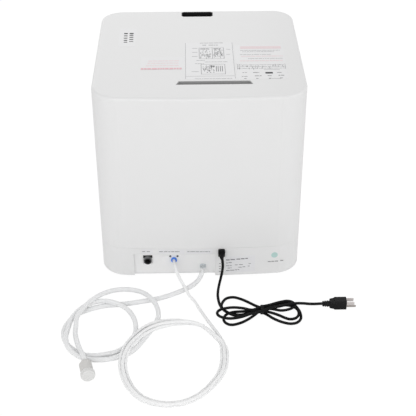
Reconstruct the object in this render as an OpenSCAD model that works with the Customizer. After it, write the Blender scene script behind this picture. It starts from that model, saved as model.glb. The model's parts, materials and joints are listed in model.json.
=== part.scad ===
// Countertop dishwasher: a rounded plastic body with a drop-down door, a sliding rack, a top filler
// and a rear connector recess with its hoses and mains lead lying behind it.
// +Z is up, the door faces -Y, the bowed back faces +Y, and the feet stand on z = 0.

/* [Body] */
// Overall width
body_w = 430; // [424:1:450]
// Overall depth at the crest of the bowed back
body_d = 428; // [424:1:440]
// Height of the body above its feet
body_h = 433; // [428:1:450]
// Radius of the two front corners
front_r = 47; // [44:1:50]
// Radius of the two back corners
back_r = 56; // [50:1:60]
// How far the back bows out at its middle
back_bow = 10.7; // [9:0.1:12]
// Wall of the outer shells
wall = 3; // [2.6:0.1:3.4]
// Height of the base housing
base_h = 72; // [70:1:78]
// Radius of the rounded top edge
crown_r = 6; // [4:1:8]
// Height of the feet
foot_h = 6; // [5:0.5:9]
// Radius of the feet
foot_r = 12; // [10:0.5:14]
// Inset of the feet from the sides
foot_in = 60; // [56:1:70]

/* [Rear recess and ports] */
// Width of the connector recess
recess_w = 175; // [170:1:180]
// Height of the connector recess
recess_h = 57; // [55:1:58]
// Depth of the recess below the crest of the back
recess_d = 10; // [8:0.5:12]
// Outer radius of the inlet stub
inlet_r = 8.5; // [7:0.1:9]
// Bore radius of the inlet stub
inlet_bore_r = 5.5; // [4.5:0.1:6]
// How far the inlet stub stands out of its panel
inlet_len = 8; // [7:0.5:9]
// Outer radius of the push-fit collet
collet_r = 6.5; // [6:0.1:7]
// Travel of the push-fit collet
collet_travel = 1.5; // [1:0.1:1.6]

/* [Door] */
// Thickness of the door
door_t = 48; // [47:0.5:50]
// Radius of the nose along the door's lower edge
nose_r = 9; // [8:0.5:9.5]
// Radius of the hinge pins
pin_r = 4; // [3:0.1:5]
// Height of the control band above the door
band_h = 62; // [60:1:64]
// Height of the control panel
panel_h = 40; // [36:1:42]
// Control band at each end of its panel
panel_side = 57; // [54:1:64]
// Width of the display
display_w = 70; // [60:1:80]
// Height of the display
display_h = 20; // [16:1:24]
// Door face at each side of the window
side_rail = 90; // [86:1:100]
// Door face below the window
low_rail = 74; // [70:1:80]
// Door face above the window
top_rail = 58; // [54:1:62]
// Thickness of the door panes
pane_t = 3.2; // [2.5:0.1:4]
// Radius of the push buttons
button_r = 7; // [6:0.1:7.6]
// Travel of the push buttons
button_travel = 1.2; // [0.8:0.1:1.3]

/* [Tub and rack] */
// Space between the hood's side walls and the tub
side_gap = 42; // [40:1:46]
// Space between the crest of the back and the tub
back_gap = 64; // [60:1:68]
// Wall of the tub
tub_t = 2; // [1.5:0.1:2.4]
// Corner radius inside the tub
tub_r = 18; // [14:1:22]
// Height of the dish rack
rack_h = 60; // [50:1:70]
// Radius of the rack's wires
wire_r = 1.8; // [1.4:0.1:2.1]
// Pitch of the rack's floor wires
wire_pitch = 20; // [17:1:26]
// Length of each lower spray arm
arm_reach = 144; // [130:1:145]
// Length of each upper spray arm
upper_reach = 90; // [70:1:100]

/* [Top] */
// Width of the filler mouth
filler_w = 71; // [66:1:74]
// Front-to-back size of the filler mouth
filler_d = 28; // [26:0.5:28.5]
// Front-to-back size of the outlet slot
vent_d = 16; // [14:0.5:18]
// Width of the outlet slot at its back edge
vent_w = 155; // [150:1:160]

/* [Hidden] */

$fn = 72;
eps = 0.01;
seat = 0.3;
run = 0.05;
film = 0.2;
crossing = 0.1;

// Heights
z_base = foot_h;
z_seam = foot_h + base_h;
z_top = foot_h + body_h;
deck_t = 3;
base_floor = z_base + deck_t;
band_z = z_top - band_h;

// Plan outline: flat front and sides, round corners, bowed back
hw = body_w / 2;
hd = body_d / 2;
bow_r = (hw * hw + back_bow * back_bow) / (2 * back_bow);
bow_y = hd - bow_r;
corner_x = hw - back_r;
foot_x = hw - foot_in;
foot_y = hd - foot_in - 4;
screw_x = foot_x - 35;
screw_y = foot_y - 30;
corner_y = bow_y + sqrt(pow(bow_r - back_r + crossing, 2) - pow(corner_x, 2));

// Door and frame
hinge_y = -hd + nose_r;
hinge_z = z_seam + 3 + nose_r;
door_z0 = hinge_z - nose_r;
door_z1 = band_z - 4;
door_back = -hd + door_t;
panel_w = body_w - 2 * panel_side;
panel_z = band_z + panel_h / 2 + 4;
button_step = 32;
button_x = panel_w / 2 - 30;
button_xs = [-button_x, -button_x + button_step, button_x - button_step, button_x];
ear_x = hw - 37;
ear_gap = 1.5;
ear_h = 22;
frame_y = door_back + 2;
frame_t = 3;
liner_t = 3;
window_w = body_w - 2 * side_rail;
window_h = door_z1 - door_z0 - low_rail - top_rail;
window_z = door_z0 + low_rail + window_h / 2;
window_r = 14;
pin_x0 = ear_x - 12;
pin_x1 = ear_x + 12;

// Tub
tub_y0 = frame_y + frame_t;
tub_y1 = hd - back_gap;
tub_z0 = z_seam + 20;
tub_z1 = band_z - 27;
tub_hw = hw - wall - side_gap;
tub_in_z = [tub_z0 + tub_t, tub_z1 - tub_t];
tub_cz = (tub_z0 + tub_z1) / 2;
tub_in_h = tub_in_z[1] - tub_in_z[0];
seal_w = 5;
flange = 8;

// Sump, pumps and sprays
sump_y = -95;
sump_r = 44;
sump_t = 2.5;
sump_z0 = base_floor + 49;
filter_r = 40;
pump_r = 40;
pump_z0 = base_floor + 53;
pump_z1 = tub_z0 - 2;
pump_mid = (pump_z0 + pump_z1) / 2;
shaft_r = 3;
post_r = 8;
arm_z = tub_in_z[0] + 22;
upper_z = tub_in_z[1] - 22;
riser_y = tub_y1 + 15;
riser_r = 8;
riser_top = tub_z1 + 11;
drain_x = 56;
drain_z = pump_mid - 12;
line_r = 6;
line_y = tub_y1 + 24;

// Rack
rack_hw = tub_hw - 18;
rack_y = [tub_y0 + 13, tub_y1 - 18];
rack_z = tub_in_z[0] + 52;
glide_z = rack_z + 28;
glide_h = 8;
shelf_x = -tub_hw + 6;
shelf_z = tub_cz + 38;
shelf_y = [-110, 90];
shelf_reach = 76;

// Rear recess and ports, in the plane of the recess floor
panel_y = hd - recess_d;
recess_x = [-31, -31 + recess_w];
inlet_x = 114.5;
inlet_z = z_base + 38.5;
port_x = 58;
port_z = z_base + 38;
drain_stub_x = -4.5;
drain_stub_z = z_base + 20;
grip_x = -44.5;
grip_z = z_seam - 9;
grip_w = 14.5;
grip_h = 16;
grip_len = 8;
grip_y = bow_y + sqrt(bow_r * bow_r - grip_x * grip_x);

// Top
filler_y = -hd + 20;
filler_r = 7;
filler_z = z_top - 34;
tank_z = [band_z - 3, z_top - 9];
tank_x = tub_hw - 20;
tank_y = [frame_y + 14, tub_y1 - 20];
vent_x = -30.2;
vent_y = hd - 68;
blower_x = -tub_hw + 80;
blower_z = tub_cz + 50;

// Routes of the lead and the hoses over the surface the machine stands on
cord_r = 2.75;
cord_route = [[-45, 235, 67], [-46, 240, 60], [-46.3, 242.5, 53], [-45.2, 246, 43.5], [-41.7, 250, 26],
    [-37.8, 255, 10], [-36, 263, 4], [-34.7, 274, 2.75], [-34.9, 296, 2.75]];
plug_route = [[-197, 310, 2.75], [-212, 310, 2.75], [-226, 313, 4], [-238, 316.5, 6.5],
    [-252, 321, 10.5]];
hank_lobes = [[-66, 330, 44], [-163, 333, 42]];
hank_waist = [-163, 316, 97, 36];
hank_h = 18;
tie_x = [-131, -121];
tie_y = [326, 348];
plug_at = [-252, 321, 10.5];
thin_r = 3.25;
thin_route = [[58, 190, 44], [58, 209, 44], [57, 218, 42.5], [54.5, 228, 38], [51, 236, 30.5],
    [46, 245, 24], [41, 254, 19], [35, 265, 14.5], [30, 277, 11], [24, 287, 7], [15, 300, 4],
    [6, 321, 3.25], [-4, 344, 3.25], [-11, 360, 3.25], [-21.5, 382, 3.25]];
coil_x = 58.5;
coil_outer = [108.5, 458.5, 492.5];
coil_inner = [91, 471, 497];
coil_h = 14;
drain_r = 5;
drain_route = [[-4.5, 208, 26], [-4, 214, 23.5], [-2, 221.5, 19.5], [2, 230.5, 15],
    [9, 240.5, 10.5], [20, 250.5, 7], [34, 260, 5.5], [54, 272, 5], [77, 284, 5], [97, 291.5, 5]];
loop_outer = [[161, 328, 75], [221, 405, 66], [175, 398, 70]];
loop_inner = [[180, 350, 33], [215, 365, 37], [190, 415, 42], [212, 418, 38]];
loop_h = 20;
end_route = [[236, 464, 10], [232.5, 477, 13], [230.5, 489, 14]];
end_at = [229.8, 491.5, 14];
end_turn = 14;
sleeve_r = 12.5;
nut_r = 14;
sleeve_len = 30;
nut_len = 11;

module outline(inset = 0) {
    side = hw - inset;
    front_x = hw - front_r;
    bow_x = corner_x * (bow_r - inset) / (bow_r - back_r);
    intersection() {
        translate([0, bow_y]) circle(r = bow_r - inset, $fn = 1440);
        union() {
            translate([-side, -hd + front_r]) square([2 * side, corner_y + hd - front_r]);
            translate([-front_x, -hd + inset]) square([2 * front_x, front_r]);
            translate([-bow_x, corner_y - 1]) square([2 * bow_x, hd]);
            for (s = [-1, 1]) {
                translate([s * front_x, -hd + front_r]) circle(r = front_r - inset);
                translate([s * corner_x, corner_y]) circle(r = back_r - inset);
            }
        }
    }
}

module slab(z0, z1, inset = 0) {
    translate([0, 0, z0]) linear_extrude(z1 - z0) outline(inset);
}

module box(x, y, z) {
    translate([x[0], y[0], z[0]]) cube([x[1] - x[0], y[1] - y[0], z[1] - z[0]]);
}

module rod_x(x, y, z, r) {
    translate([x[0], y, z]) rotate([0, 90, 0]) cylinder(r = r, h = x[1] - x[0]);
}

module rod_y(x, y, z, r) {
    translate([x, y[1], z]) rotate([90, 0, 0]) cylinder(r = r, h = y[1] - y[0]);
}

module rod_z(x, y, z, r) {
    translate([x, y, z[0]]) cylinder(r = r, h = z[1] - z[0]);
}

// Rounded rectangle centred on the origin
module tile(w, h, r) {
    square([w, h - 2 * r], center = true);
    square([w - 2 * r, h], center = true);
    for (x = [-1, 1], y = [-1, 1])
        translate([x * (w / 2 - r), y * (h / 2 - r)]) circle(r = r);
}

// Rounded plate standing across Y
module plate_y(x, z, w, h, r, y) {
    translate([x, y[1], z]) rotate([90, 0, 0]) linear_extrude(y[1] - y[0]) tile(w, h, r);
}

module plate_z(x, y, w, d, r, z) {
    translate([x, y, z[0]]) linear_extrude(z[1] - z[0]) tile(w, d, r);
}

// Tube swept along a list of points, one ring at each
function unit(v) = v / norm(v);
function heading(p, i) = unit(p[min(i + 1, len(p) - 1)] - p[max(i - 1, 0)]);
function side(p, i) = i == 0
    ? unit(cross(heading(p, 0), [1, 0.2, 0]))
    : let (t = heading(p, i), s = side(p, i - 1)) unit(s - t * (t * s));
function ring(p, i, r, n) = let (t = heading(p, i), s = side(p, i), u = cross(t, s))
    [for (k = [0 : n - 1]) p[i] + r * (s * cos(360 * k / n) + u * sin(360 * k / n))];

module tube(p, r, n = 8) {
    last = (len(p) - 1) * n;
    points = [for (i = [0 : len(p) - 1]) each ring(p, i, r, n)];
    near = [for (i = [0 : len(p) - 2], k = [0 : n - 1])
        [i * n + k, i * n + (k + 1) % n, (i + 1) * n + k]];
    far = [for (i = [0 : len(p) - 2], k = [0 : n - 1])
        [i * n + (k + 1) % n, (i + 1) * n + (k + 1) % n, (i + 1) * n + k]];
    ends = [[for (k = [n - 1 : -1 : 0]) k], [for (k = [0 : n - 1]) last + k]];
    polyhedron(points, concat(near, far, ends), convexity = 6);
}

// Side profile of a hinge ear: a block behind the pin with a round front about it
module ear() {
    rotate([90, 0, 90]) linear_extrude(hw - ear_x + 1) {
        translate([0, -nose_r - 3]) square([frame_y - hinge_y, ear_h]);
        translate([-nose_r, -nose_r - 3]) square([nose_r + 1, nose_r + 3]);
        circle(r = nose_r);
    }
}

module base_housing() {
    color("white") difference() {
        union() {
            difference() {
                slab(z_base, z_seam);
                slab(base_floor, z_seam - deck_t, wall);
                box([-tub_hw - 12, tub_hw + 12], [tub_y0 + 6, tub_y1 + 40],
                    [z_seam - deck_t - 1, z_seam + 1]);
            }
            intersection() {
                slab(z_base, z_seam);
                box([recess_x[0] - wall, recess_x[1] + wall], [panel_y, hd + 1],
                    [z_base, z_base + recess_h + wall]);
            }
            intersection() {
                slab(z_seam - deck_t, z_seam + ear_h);
                for (m = [0, 1]) mirror([m, 0, 0])
                    translate([ear_x, hinge_y, hinge_z]) ear();
            }
            for (x = [-screw_x, screw_x], y = [-screw_y, screw_y]) rod_z(x, y, [z_base, base_floor + 9], 5);
        }
        box(recess_x, [panel_y, hd + 20], [z_base - 1, z_base + recess_h]);
        for (m = [0, 1]) mirror([m, 0, 0]) rod_x([ear_x - 1, pin_x1], hinge_y, hinge_z, pin_r);
        for (x = [-screw_x, screw_x], y = [-screw_y, screw_y]) rod_z(x, y, [z_base - 1, base_floor + 10], 1.75);
        rod_y(grip_x, [panel_y - 10, hd + 1], grip_z, 6);
    }
}

module rear_panel() {
    color("whitesmoke") difference() {
        union() {
            box([recess_x[0] - wall, recess_x[1] + wall], [panel_y - 3, panel_y],
                [base_floor, z_base + recess_h + wall]);
            rod_y(port_x, [panel_y - 20, panel_y], port_z, 9);
        }
        box([inlet_x - 10, inlet_x + 10], [panel_y - 4, panel_y + 1],
            [inlet_z - 11, inlet_z + 11]);
        rod_y(port_x, [panel_y - 17, panel_y + 1], port_z, collet_r - 1 + run);
        plate_y(drain_stub_x, drain_stub_z, 13, 10, 4.99, [panel_y - 4, panel_y + 1]);
        for (s = [-1, 1]) rod_y(port_x + s * 7.8, [panel_y - 4, panel_y + 1], port_z + 8.5, 1.2);
    }
}

module vent_outline(grow = 0) {
    far = vent_w - 12;
    polygon([[-vent_w / 2 - grow, vent_d / 2 + grow], [-far / 2 - grow, -vent_d / 2 - grow],
        [far / 2 + grow, -vent_d / 2 - grow], [vent_w / 2 + grow, vent_d / 2 + grow]]);
}

module hood() {
    steps = 6;
    color("white") difference() {
        union() {
            slab(z_seam, z_top - crown_r);
            for (i = [1 : steps]) {
                a = 90 * (i - 0.5) / steps;
                slab(z_top - crown_r - eps, z_top - crown_r * (1 - sin(90 * i / steps)),
                    crown_r * (1 - cos(a)));
            }
        }
        slab(z_seam - 1, z_top - wall - 1, wall);
        box([-hw - 1, hw + 1], [-hd - 1, frame_y], [z_seam - 1, band_z]);
        plate_z(0, filler_y, filler_w, filler_d, filler_r, [z_top - 10, z_top + 1]);
        translate([vent_x, vent_y, z_top - 10]) linear_extrude(11) vent_outline();
        plate_y(0, panel_z, panel_w, panel_h, 8, [-hd - 1, -hd + wall + 1]);
        for (m = [0, 1]) mirror([m, 0, 0])
            box([ear_x - 1, hw + 1], [-hd - 1, frame_y], [z_seam - 1, z_seam + ear_h]);
    }
}

module front_frame() {
    color("whitesmoke") difference() {
        union() {
            intersection() {
                slab(z_seam, band_z + 3, wall);
                box([-hw, hw], [frame_y, frame_y + frame_t], [z_seam, band_z + 3]);
            }
            intersection() {
                slab(band_z, band_z + 3, wall);
                box([-hw, hw], [-hd, frame_y + frame_t], [band_z, band_z + 3]);
            }
        }
        plate_y(0, tub_cz, 2 * tub_hw, tub_in_h, tub_r, [frame_y - 1, tub_y0 + 1]);
        box([-14, 14], [frame_y - 1, tub_y0 + 1], [tub_z1 + 7, tub_z1 + 21]);
    }
}

module control_panel() {
    color([0.12, 0.12, 0.13]) {
        difference() {
            plate_y(0, panel_z, panel_w, panel_h, 8, [-hd, -hd + wall]);
            plate_y(0, panel_z, display_w, display_h, 3, [-hd - 1, -hd + 0.6]);
            for (x = button_xs) rod_y(x, [-hd - 1, -hd + wall + 1], panel_z, button_r + seat);
        }
        for (x = [-panel_w / 2 + 10, -50, 50, panel_w / 2 - 10])
            rod_y(x, [-hd + wall, -hd + 8], panel_z, 3);
    }
}

module button(i) {
    color("silver") {
        rod_y(button_xs[i], [-hd, -hd + 6.2], panel_z, button_r);
        rod_y(button_xs[i], [-hd + wall + seat, -hd + wall + 1.8], panel_z, button_r + 1.8);
    }
}

module control_board() {
    color("darkgreen") {
        box([-panel_w / 2 + 6, panel_w / 2 - 6], [-hd + 8, -hd + 9.6], [band_z + 8, filler_z]);
        for (x = [-20, 20]) box([x - 12, x + 12], [-hd + 9.6, -hd + 16], [band_z + 10, band_z + 20]);
    }
}

// The door's solid envelope, a slice of the body with the ears' corners left out
module door_envelope(inset) {
    difference() {
        intersection() {
            slab(door_z0 + inset, door_z1 - inset, inset);
            box([-hw, hw], [-hd, door_back], [door_z0, door_z1]);
        }
        for (m = [0, 1]) mirror([m, 0, 0])
            box([ear_x - ear_gap - inset, hw + 1], [-hd - 1, door_back + 1],
                [door_z0 - 1, z_seam + ear_h + ear_gap + inset]);
    }
}

module door_outer() {
    color("white") difference() {
        union() {
            difference() {
                door_envelope(0);
                door_envelope(wall);
                box([-hw, hw], [-hd - 1, hinge_y], [door_z0 - 1, hinge_z]);
            }
            rod_x([-ear_x + ear_gap, ear_x - ear_gap], hinge_y, hinge_z, nose_r);
            plate_y(0, door_z1 - 21, 126, 31, 7, [-hd + wall - 1, -hd + 24]);
        }
        box([-hw + wall, hw - wall], [door_back - liner_t, door_back + 1],
            [z_seam + ear_h + ear_gap + wall, door_z1 - wall]);
        box([-ear_x + ear_gap + wall, ear_x - ear_gap - wall], [door_back - liner_t, door_back + 1],
            [door_z0 + wall, z_seam + ear_h + ear_gap + wall + 1]);
        plate_y(0, window_z, window_w, window_h, window_r, [-hd - 1, -hd + wall + 1]);
        plate_y(0, door_z1 - 21, 120, 25, 4, [-hd - 1, -hd + 21]);
        for (m = [0, 1]) mirror([m, 0, 0])
            rod_x([pin_x0 - 1, ear_x], hinge_y, hinge_z, pin_r + run);
    }
}

cup_x = [-45, 20];
cup_z = [tub_in_z[0] + 8, tub_in_z[0] + 40];

module door_inner() {
    color("gainsboro") {
        difference() {
            intersection() {
                door_envelope(wall);
                box([-hw, hw], [door_back - liner_t, door_back], [0, z_top]);
            }
            plate_y(0, window_z, window_w, window_h, window_r, [door_back - 9, door_back + 1]);
            box(cup_x, [door_back - 9, door_back + 1], cup_z);
        }
        difference() {
            box([cup_x[0] - 2, cup_x[1] + 2], [door_back - 18, door_back - liner_t],
                [cup_z[0] - 2, cup_z[1] + 2]);
            box(cup_x, [door_back - 16, door_back], cup_z);
        }
        for (z = [cup_z[0] - 4.3, cup_z[1] + 2.3]) box([cup_x[0] - 2, cup_x[1] + 72],
            [door_back, door_back + 1.6], [z, z + 2]);
    }
}

module door_glass() {
    color("lightblue", 0.4) for (y = [-hd + wall, door_back - liner_t - pane_t])
        plate_y(0, window_z, window_w + 20, window_h + 20, window_r, [y, y + pane_t]);
}

module door_seal() {
    color("dimgray") difference() {
        plate_y(0, tub_cz, 2 * (tub_hw + 2 + seal_w), tub_in_h + 4 + 2 * seal_w, tub_r + 7,
            [door_back, frame_y - seat]);
        plate_y(0, tub_cz, 2 * (tub_hw + 2), tub_in_h + 4, tub_r + 2, [door_back - 1, frame_y]);
    }
}

hook_z = tub_z1 + 12;

module door_hook() {
    color("silver") {
        box([-18, 18], [door_back, door_back + 1.4], [hook_z - 3, hook_z + 6]);
        box([-10, 10], [door_back + 1.4, door_back + 20], [hook_z - 2.5, hook_z + 2.5]);
    }
}

module detergent_slide() {
    color("lightgray") {
        box([cup_x[0] - 2, cup_x[1] + 2], [door_back + 0.2, door_back + 1.5],
            [cup_z[0] - 2, cup_z[1] + 2]);
        box([cup_x[1] - 10, cup_x[1] - 4], [door_back + 1.5, door_back + 4],
            [cup_z[0] + 6, cup_z[1] - 6]);
    }
}

module latch_case() {
    color("dimgray") difference() {
        box([-17, 32], [tub_y0, tub_y0 + 24], [tub_z1, tub_z1 + 24]);
        box([-18, 33], [tub_y0 - 1, tub_y0 + 2], [tub_z1 - 1, tub_z1 + flange - tub_t]);
        box([-14, 14], [tub_y0 - 1, tub_y0 + 21], [tub_z1 + 3, tub_z1 + 21]);
        rod_x([13, 29], tub_y0 + 9, hook_z, 3 + run);
    }
}

module latch_plunger() {
    color("silver") {
        translate([13.3, tub_y0 + 9, hook_z]) sphere(r = 3);
        rod_x([13.3, 25.5], tub_y0 + 9, hook_z, 3);
    }
}

module hinge_pins() {
    color("silver") for (m = [0, 1]) mirror([m, 0, 0]) rod_x([pin_x0, pin_x1], hinge_y, hinge_z, pin_r);
}

heater_x = [-75, 105];
heater_y = [62, 106];
heater_z = tub_in_z[0] + 8;
heater_r = 4;
float_x = -tub_hw + 32;
float_y = tub_y1 - 44;

module tub() {
    color("gainsboro") difference() {
        union() {
            plate_y(0, tub_cz, 2 * (tub_hw + tub_t), tub_z1 - tub_z0, tub_r + tub_t, [tub_y0, tub_y1]);
            plate_y(0, tub_cz, 2 * (tub_hw + flange), tub_in_h + 2 * flange, tub_r + flange,
                [tub_y0, tub_y0 + 2]);
            rod_z(float_x, float_y, [tub_z0 - 10, tub_z0 + 1], 6);
            for (y = [shelf_y[0] + 6, shelf_y[1] - 6])
                box([-tub_hw - 1, shelf_x + 5], [y - 3, y + 3], [shelf_z - 6, shelf_z + 5]);
        }
        difference() {
            plate_y(0, tub_cz, 2 * tub_hw, tub_in_h, tub_r, [tub_y0 - 1, tub_y1 - tub_t]);
            for (y = [shelf_y[0] + 6, shelf_y[1] - 6])
                box([-tub_hw - 1, shelf_x + 5], [y - 3, y + 3], [shelf_z - 6, shelf_z + 5]);
        }
        rod_z(0, sump_y, [tub_z0 - 1, tub_z0 + 5], sump_r - 2);
        rod_z(0, 0, [tub_z0 - 1, tub_z0 + 5], 12);
        rod_z(0, 0, [tub_z1 - 5, tub_z1 + 1], riser_r);
        rod_z(float_x, float_y, [tub_z0 - 11, tub_z0 + 5], 3 + run);
        for (y = heater_y) rod_z(heater_x[1], y, [tub_z0 - 1, tub_z0 + 5], heater_r);
        rod_y(blower_x, [tub_y1 - 5, tub_y1 + 1], blower_z, 14);
        rod_y(shelf_x, [shelf_y[0] - 5, shelf_y[1] + 5], shelf_z, 3 + run);
    }
}

module sump() {
    color("lightgray") difference() {
        union() {
            rod_z(0, sump_y, [sump_z0, tub_z0], sump_r + sump_t);
            rod_z(0, sump_y, [tub_z0 - 3, tub_z0], sump_r + 8);
            rod_y(0, [sump_y + 30, 0], pump_mid, 11);
            rod_x([30, drain_x], sump_y, drain_z, 10);
            for (s = [-1, 1]) box([s * 30 - 4, s * 30 + 4], [sump_y - 20, sump_y + 20],
                [base_floor, sump_z0 + 1]);
        }
        rod_z(0, sump_y, [sump_z0 + sump_t, tub_z0 + 1], sump_r);
        rod_y(0, [sump_y, 1], pump_mid, 8);
        rod_x([0, drain_x + 1], sump_y, drain_z, 7);
        rod_z(0, 0, [base_floor - 1, tub_z0 + 1], pump_r);
    }
}

module filter_basket() {
    color("slategray") difference() {
        union() {
            rod_z(0, sump_y, [sump_z0 + sump_t + 2, tub_in_z[0] + 2], filter_r);
            rod_z(0, sump_y, [tub_in_z[0] + seat, tub_in_z[0] + 2.3], filter_r + 6);
        }
        rod_z(0, sump_y, [sump_z0 + sump_t + 4, tub_in_z[0] + 3], filter_r - 2);
        for (i = [0 : 5]) translate([0, sump_y, 0]) rotate(i * 30)
            box([-6, 6], [-filter_r - 1, filter_r + 1], [sump_z0 + sump_t + 8, tub_z0 - 8]);
    }
    color("slategray") box([-filter_r, filter_r], [sump_y - 2.5, sump_y + 2.5],
        [tub_in_z[0] - 3, tub_in_z[0] + 12]);
}

module spray_hub() {
    color("lightgray") difference() {
        union() {
            rod_z(0, 0, [pump_z1, tub_in_z[0]], 12);
            rod_z(0, 0, [tub_in_z[0], arm_z - 4 - seat], 16);
            rod_z(0, 0, [arm_z - 5, arm_z + 15], post_r);
            rod_z(0, 0, [arm_z + 12 + seat, arm_z + 16], 12);
        }
        rod_z(0, 0, [pump_z1 - 1, arm_z + 14], 5);
        for (a = [0, 90]) rotate(a) rod_x([-9, 9], 0, arm_z + 5, 2.5);
    }
}

// A spray arm about the Z axis: hollow blade, hub bore and a row of nozzles
module spray_arm(z, reach, hub, up) {
    blade = 10;
    difference() {
        union() {
            box([-reach + 13, reach - 13], [-13, 13], [z, z + blade]);
            for (s = [-1, 1]) rod_z(s * (reach - 13), 0, [z, z + blade], 13);
            rod_z(0, 0, hub, 18);
        }
        box([-reach + 15, reach - 15], [-10.5, 10.5], [z + 2, z + blade - 2]);
        rod_z(0, 0, [hub[0] - 1, hub[1] + 1], post_r + run);
        for (x = [28 : 18 : reach - 16]) {
            rod_z(x, 5, up ? [z + 5, z + blade + 1] : [z - 1, z + 5], 1.5);
            rod_z(-x, -5, up ? [z + 5, z + blade + 1] : [z - 1, z + 5], 1.5);
        }
    }
}

module lower_spray_arm() {
    color("lightgray") spray_arm(arm_z, arm_reach, [arm_z - 4, arm_z + 12], true);
}

module upper_spray_arm() {
    color("lightgray") spray_arm(upper_z, upper_reach, [upper_z - 2, upper_z + 12], false);
}

module riser_pipe() {
    color("lightgray") difference() {
        union() {
            rod_y(0, [0, riser_y], pump_mid, riser_r);
            rod_z(0, riser_y, [pump_mid, riser_top], riser_r);
            rod_y(0, [0, riser_y], riser_top, riser_r);
            rod_z(0, 0, [upper_z - 4, riser_top], riser_r);
            for (p = [[riser_y, pump_mid], [riser_y, riser_top], [0, riser_top]])
                translate([0, p[0], p[1]]) sphere(r = riser_r);
            rod_z(0, 0, [upper_z + 12 + seat, tub_in_z[1]], 14);
            rod_z(0, 0, [upper_z - 6, upper_z - 2 - seat], 12);
        }
        rod_y(0, [0, riser_y], pump_mid, riser_r - 2);
        rod_z(0, riser_y, [pump_mid, riser_top], riser_r - 2);
        rod_y(0, [0, riser_y], riser_top, riser_r - 2);
        rod_z(0, 0, [upper_z - 3, riser_top], riser_r - 2);
        rod_z(0, 0, [base_floor, pump_z1 + 1], pump_r);
    }
}

module heater() {
    mid = (heater_y[0] + heater_y[1]) / 2;
    bend = (heater_y[1] - heater_y[0]) / 2;
    color("silver") {
        for (y = heater_y) {
            rod_x(heater_x, y, heater_z, heater_r);
            translate([heater_x[1], y, heater_z]) sphere(r = heater_r);
            rod_z(heater_x[1], y, [tub_z0 - 8, heater_z], heater_r);
        }
        translate([heater_x[0], mid, heater_z]) rotate(90)
            rotate_extrude(angle = 180) translate([bend, 0]) circle(r = heater_r);
    }
}

module float_bell() {
    color("whitesmoke") difference() {
        union() {
            rod_z(float_x, float_y, [tub_in_z[0] + seat, tub_in_z[0] + 16], 12);
            rod_z(float_x, float_y, [tub_z0 - 16, tub_in_z[0] + 4], 3);
        }
        difference() {
            rod_z(float_x, float_y, [tub_in_z[0] - 1, tub_in_z[0] + 13], 10);
            rod_z(float_x, float_y, [tub_in_z[0] - 2, tub_in_z[0] + 14], 3);
        }
    }
}

module wash_pump() {
    color("darkgray") difference() {
        union() {
            rod_z(0, 0, [pump_z0, pump_z1], pump_r);
            rod_z(0, 0, [base_floor, pump_z0], pump_r - 6);
        }
        rod_z(0, 0, [pump_z0 + 3, pump_z1 - 3], pump_r - 8);
        rod_z(0, 0, [base_floor + 20, pump_z0 + 4], shaft_r + run);
        rod_z(0, 0, [pump_z1 - 4, pump_z1 + 1], 5);
        rod_y(0, [-pump_r - 1, -pump_r + 12], pump_mid, 8);
        rod_y(0, [pump_r - 12, pump_r + 1], pump_mid, riser_r - 2);
    }
}

module wash_impeller() {
    color("gray") {
        rod_z(0, 0, [base_floor + 21, pump_z0 + 8], shaft_r);
        rod_z(0, 0, [pump_z0 + 4, pump_z0 + 8], pump_r - 12);
        rod_z(0, 0, [pump_z0 + 8, pump_z1 - 6], 8);
        for (i = [0 : 5]) rotate(i * 60) box([7, pump_r - 12.5], [-1, 1], [pump_z0 + 8, pump_z1 - 8]);
    }
}

module drain_pump() {
    color("darkgray") difference() {
        union() {
            rod_x([drain_x, drain_x + 24], sump_y, drain_z, 24);
            rod_x([drain_x + 24, drain_x + 66], sump_y, drain_z, 18);
            box([drain_x + 4, drain_x + 20], [sump_y - 14, sump_y + 14],
                [base_floor, drain_z - 15]);
            rod_y(drain_x + 12, [sump_y, sump_y + 32], drain_z, 8);
        }
        rod_x([drain_x + 3, drain_x + 21], sump_y, drain_z, 19);
        rod_x([drain_x - 1, drain_x + 4], sump_y, drain_z, 7);
        rod_x([drain_x + 20, drain_x + 55], sump_y, drain_z, 2.5 + run);
        rod_y(drain_x + 12, [sump_y, sump_y + 33], drain_z, line_r);
    }
}

module drain_impeller() {
    color("gray") {
        rod_x([drain_x + 16, drain_x + 54], sump_y, drain_z, 2.5);
        rod_x([drain_x + 16, drain_x + 19], sump_y, drain_z, 16);
        for (i = [0 : 3]) translate([0, sump_y, drain_z]) rotate([i * 45, 0, 0])
            box([drain_x + 6, drain_x + 16], [-15, 15], [-1, 1]);
    }
}

// Inner lines: drain pump to drain stub, and inlet valve to tank
module pipework() {
    dx = drain_x + 12;
    up_x = inlet_x + 22;
    fill_z = (tank_z[0] + tank_z[1]) / 2;
    color("lightgray") {
        rod_y(dx, [sump_y + 20, line_y], drain_z, line_r - run);
        rod_z(dx, line_y, [drain_stub_z, drain_z], line_r - run);
        rod_x([drain_stub_x, dx], line_y, drain_stub_z, line_r - run);
        rod_y(drain_stub_x, [line_y, panel_y - 3 - 6], drain_stub_z, line_r - run);
        for (p = [[dx, drain_z], [dx, drain_stub_z], [drain_stub_x, drain_stub_z]])
            translate([p[0], line_y, p[1]]) sphere(r = line_r - run);
        rod_z(up_x, line_y, [inlet_z + 10, fill_z], line_r - run);
        rod_x([inlet_x + 10, up_x], line_y, inlet_z + 10, line_r - run);
        rod_x([tank_x - 20, up_x], line_y, fill_z, line_r - run);
        rod_y(tank_x - 20, [tank_y[1], line_y], fill_z, line_r - run);
        for (p = [[up_x, inlet_z + 10], [up_x, fill_z], [tank_x - 20, fill_z]])
            translate([p[0], line_y, p[1]]) sphere(r = line_r - run);
    }
}

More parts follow.
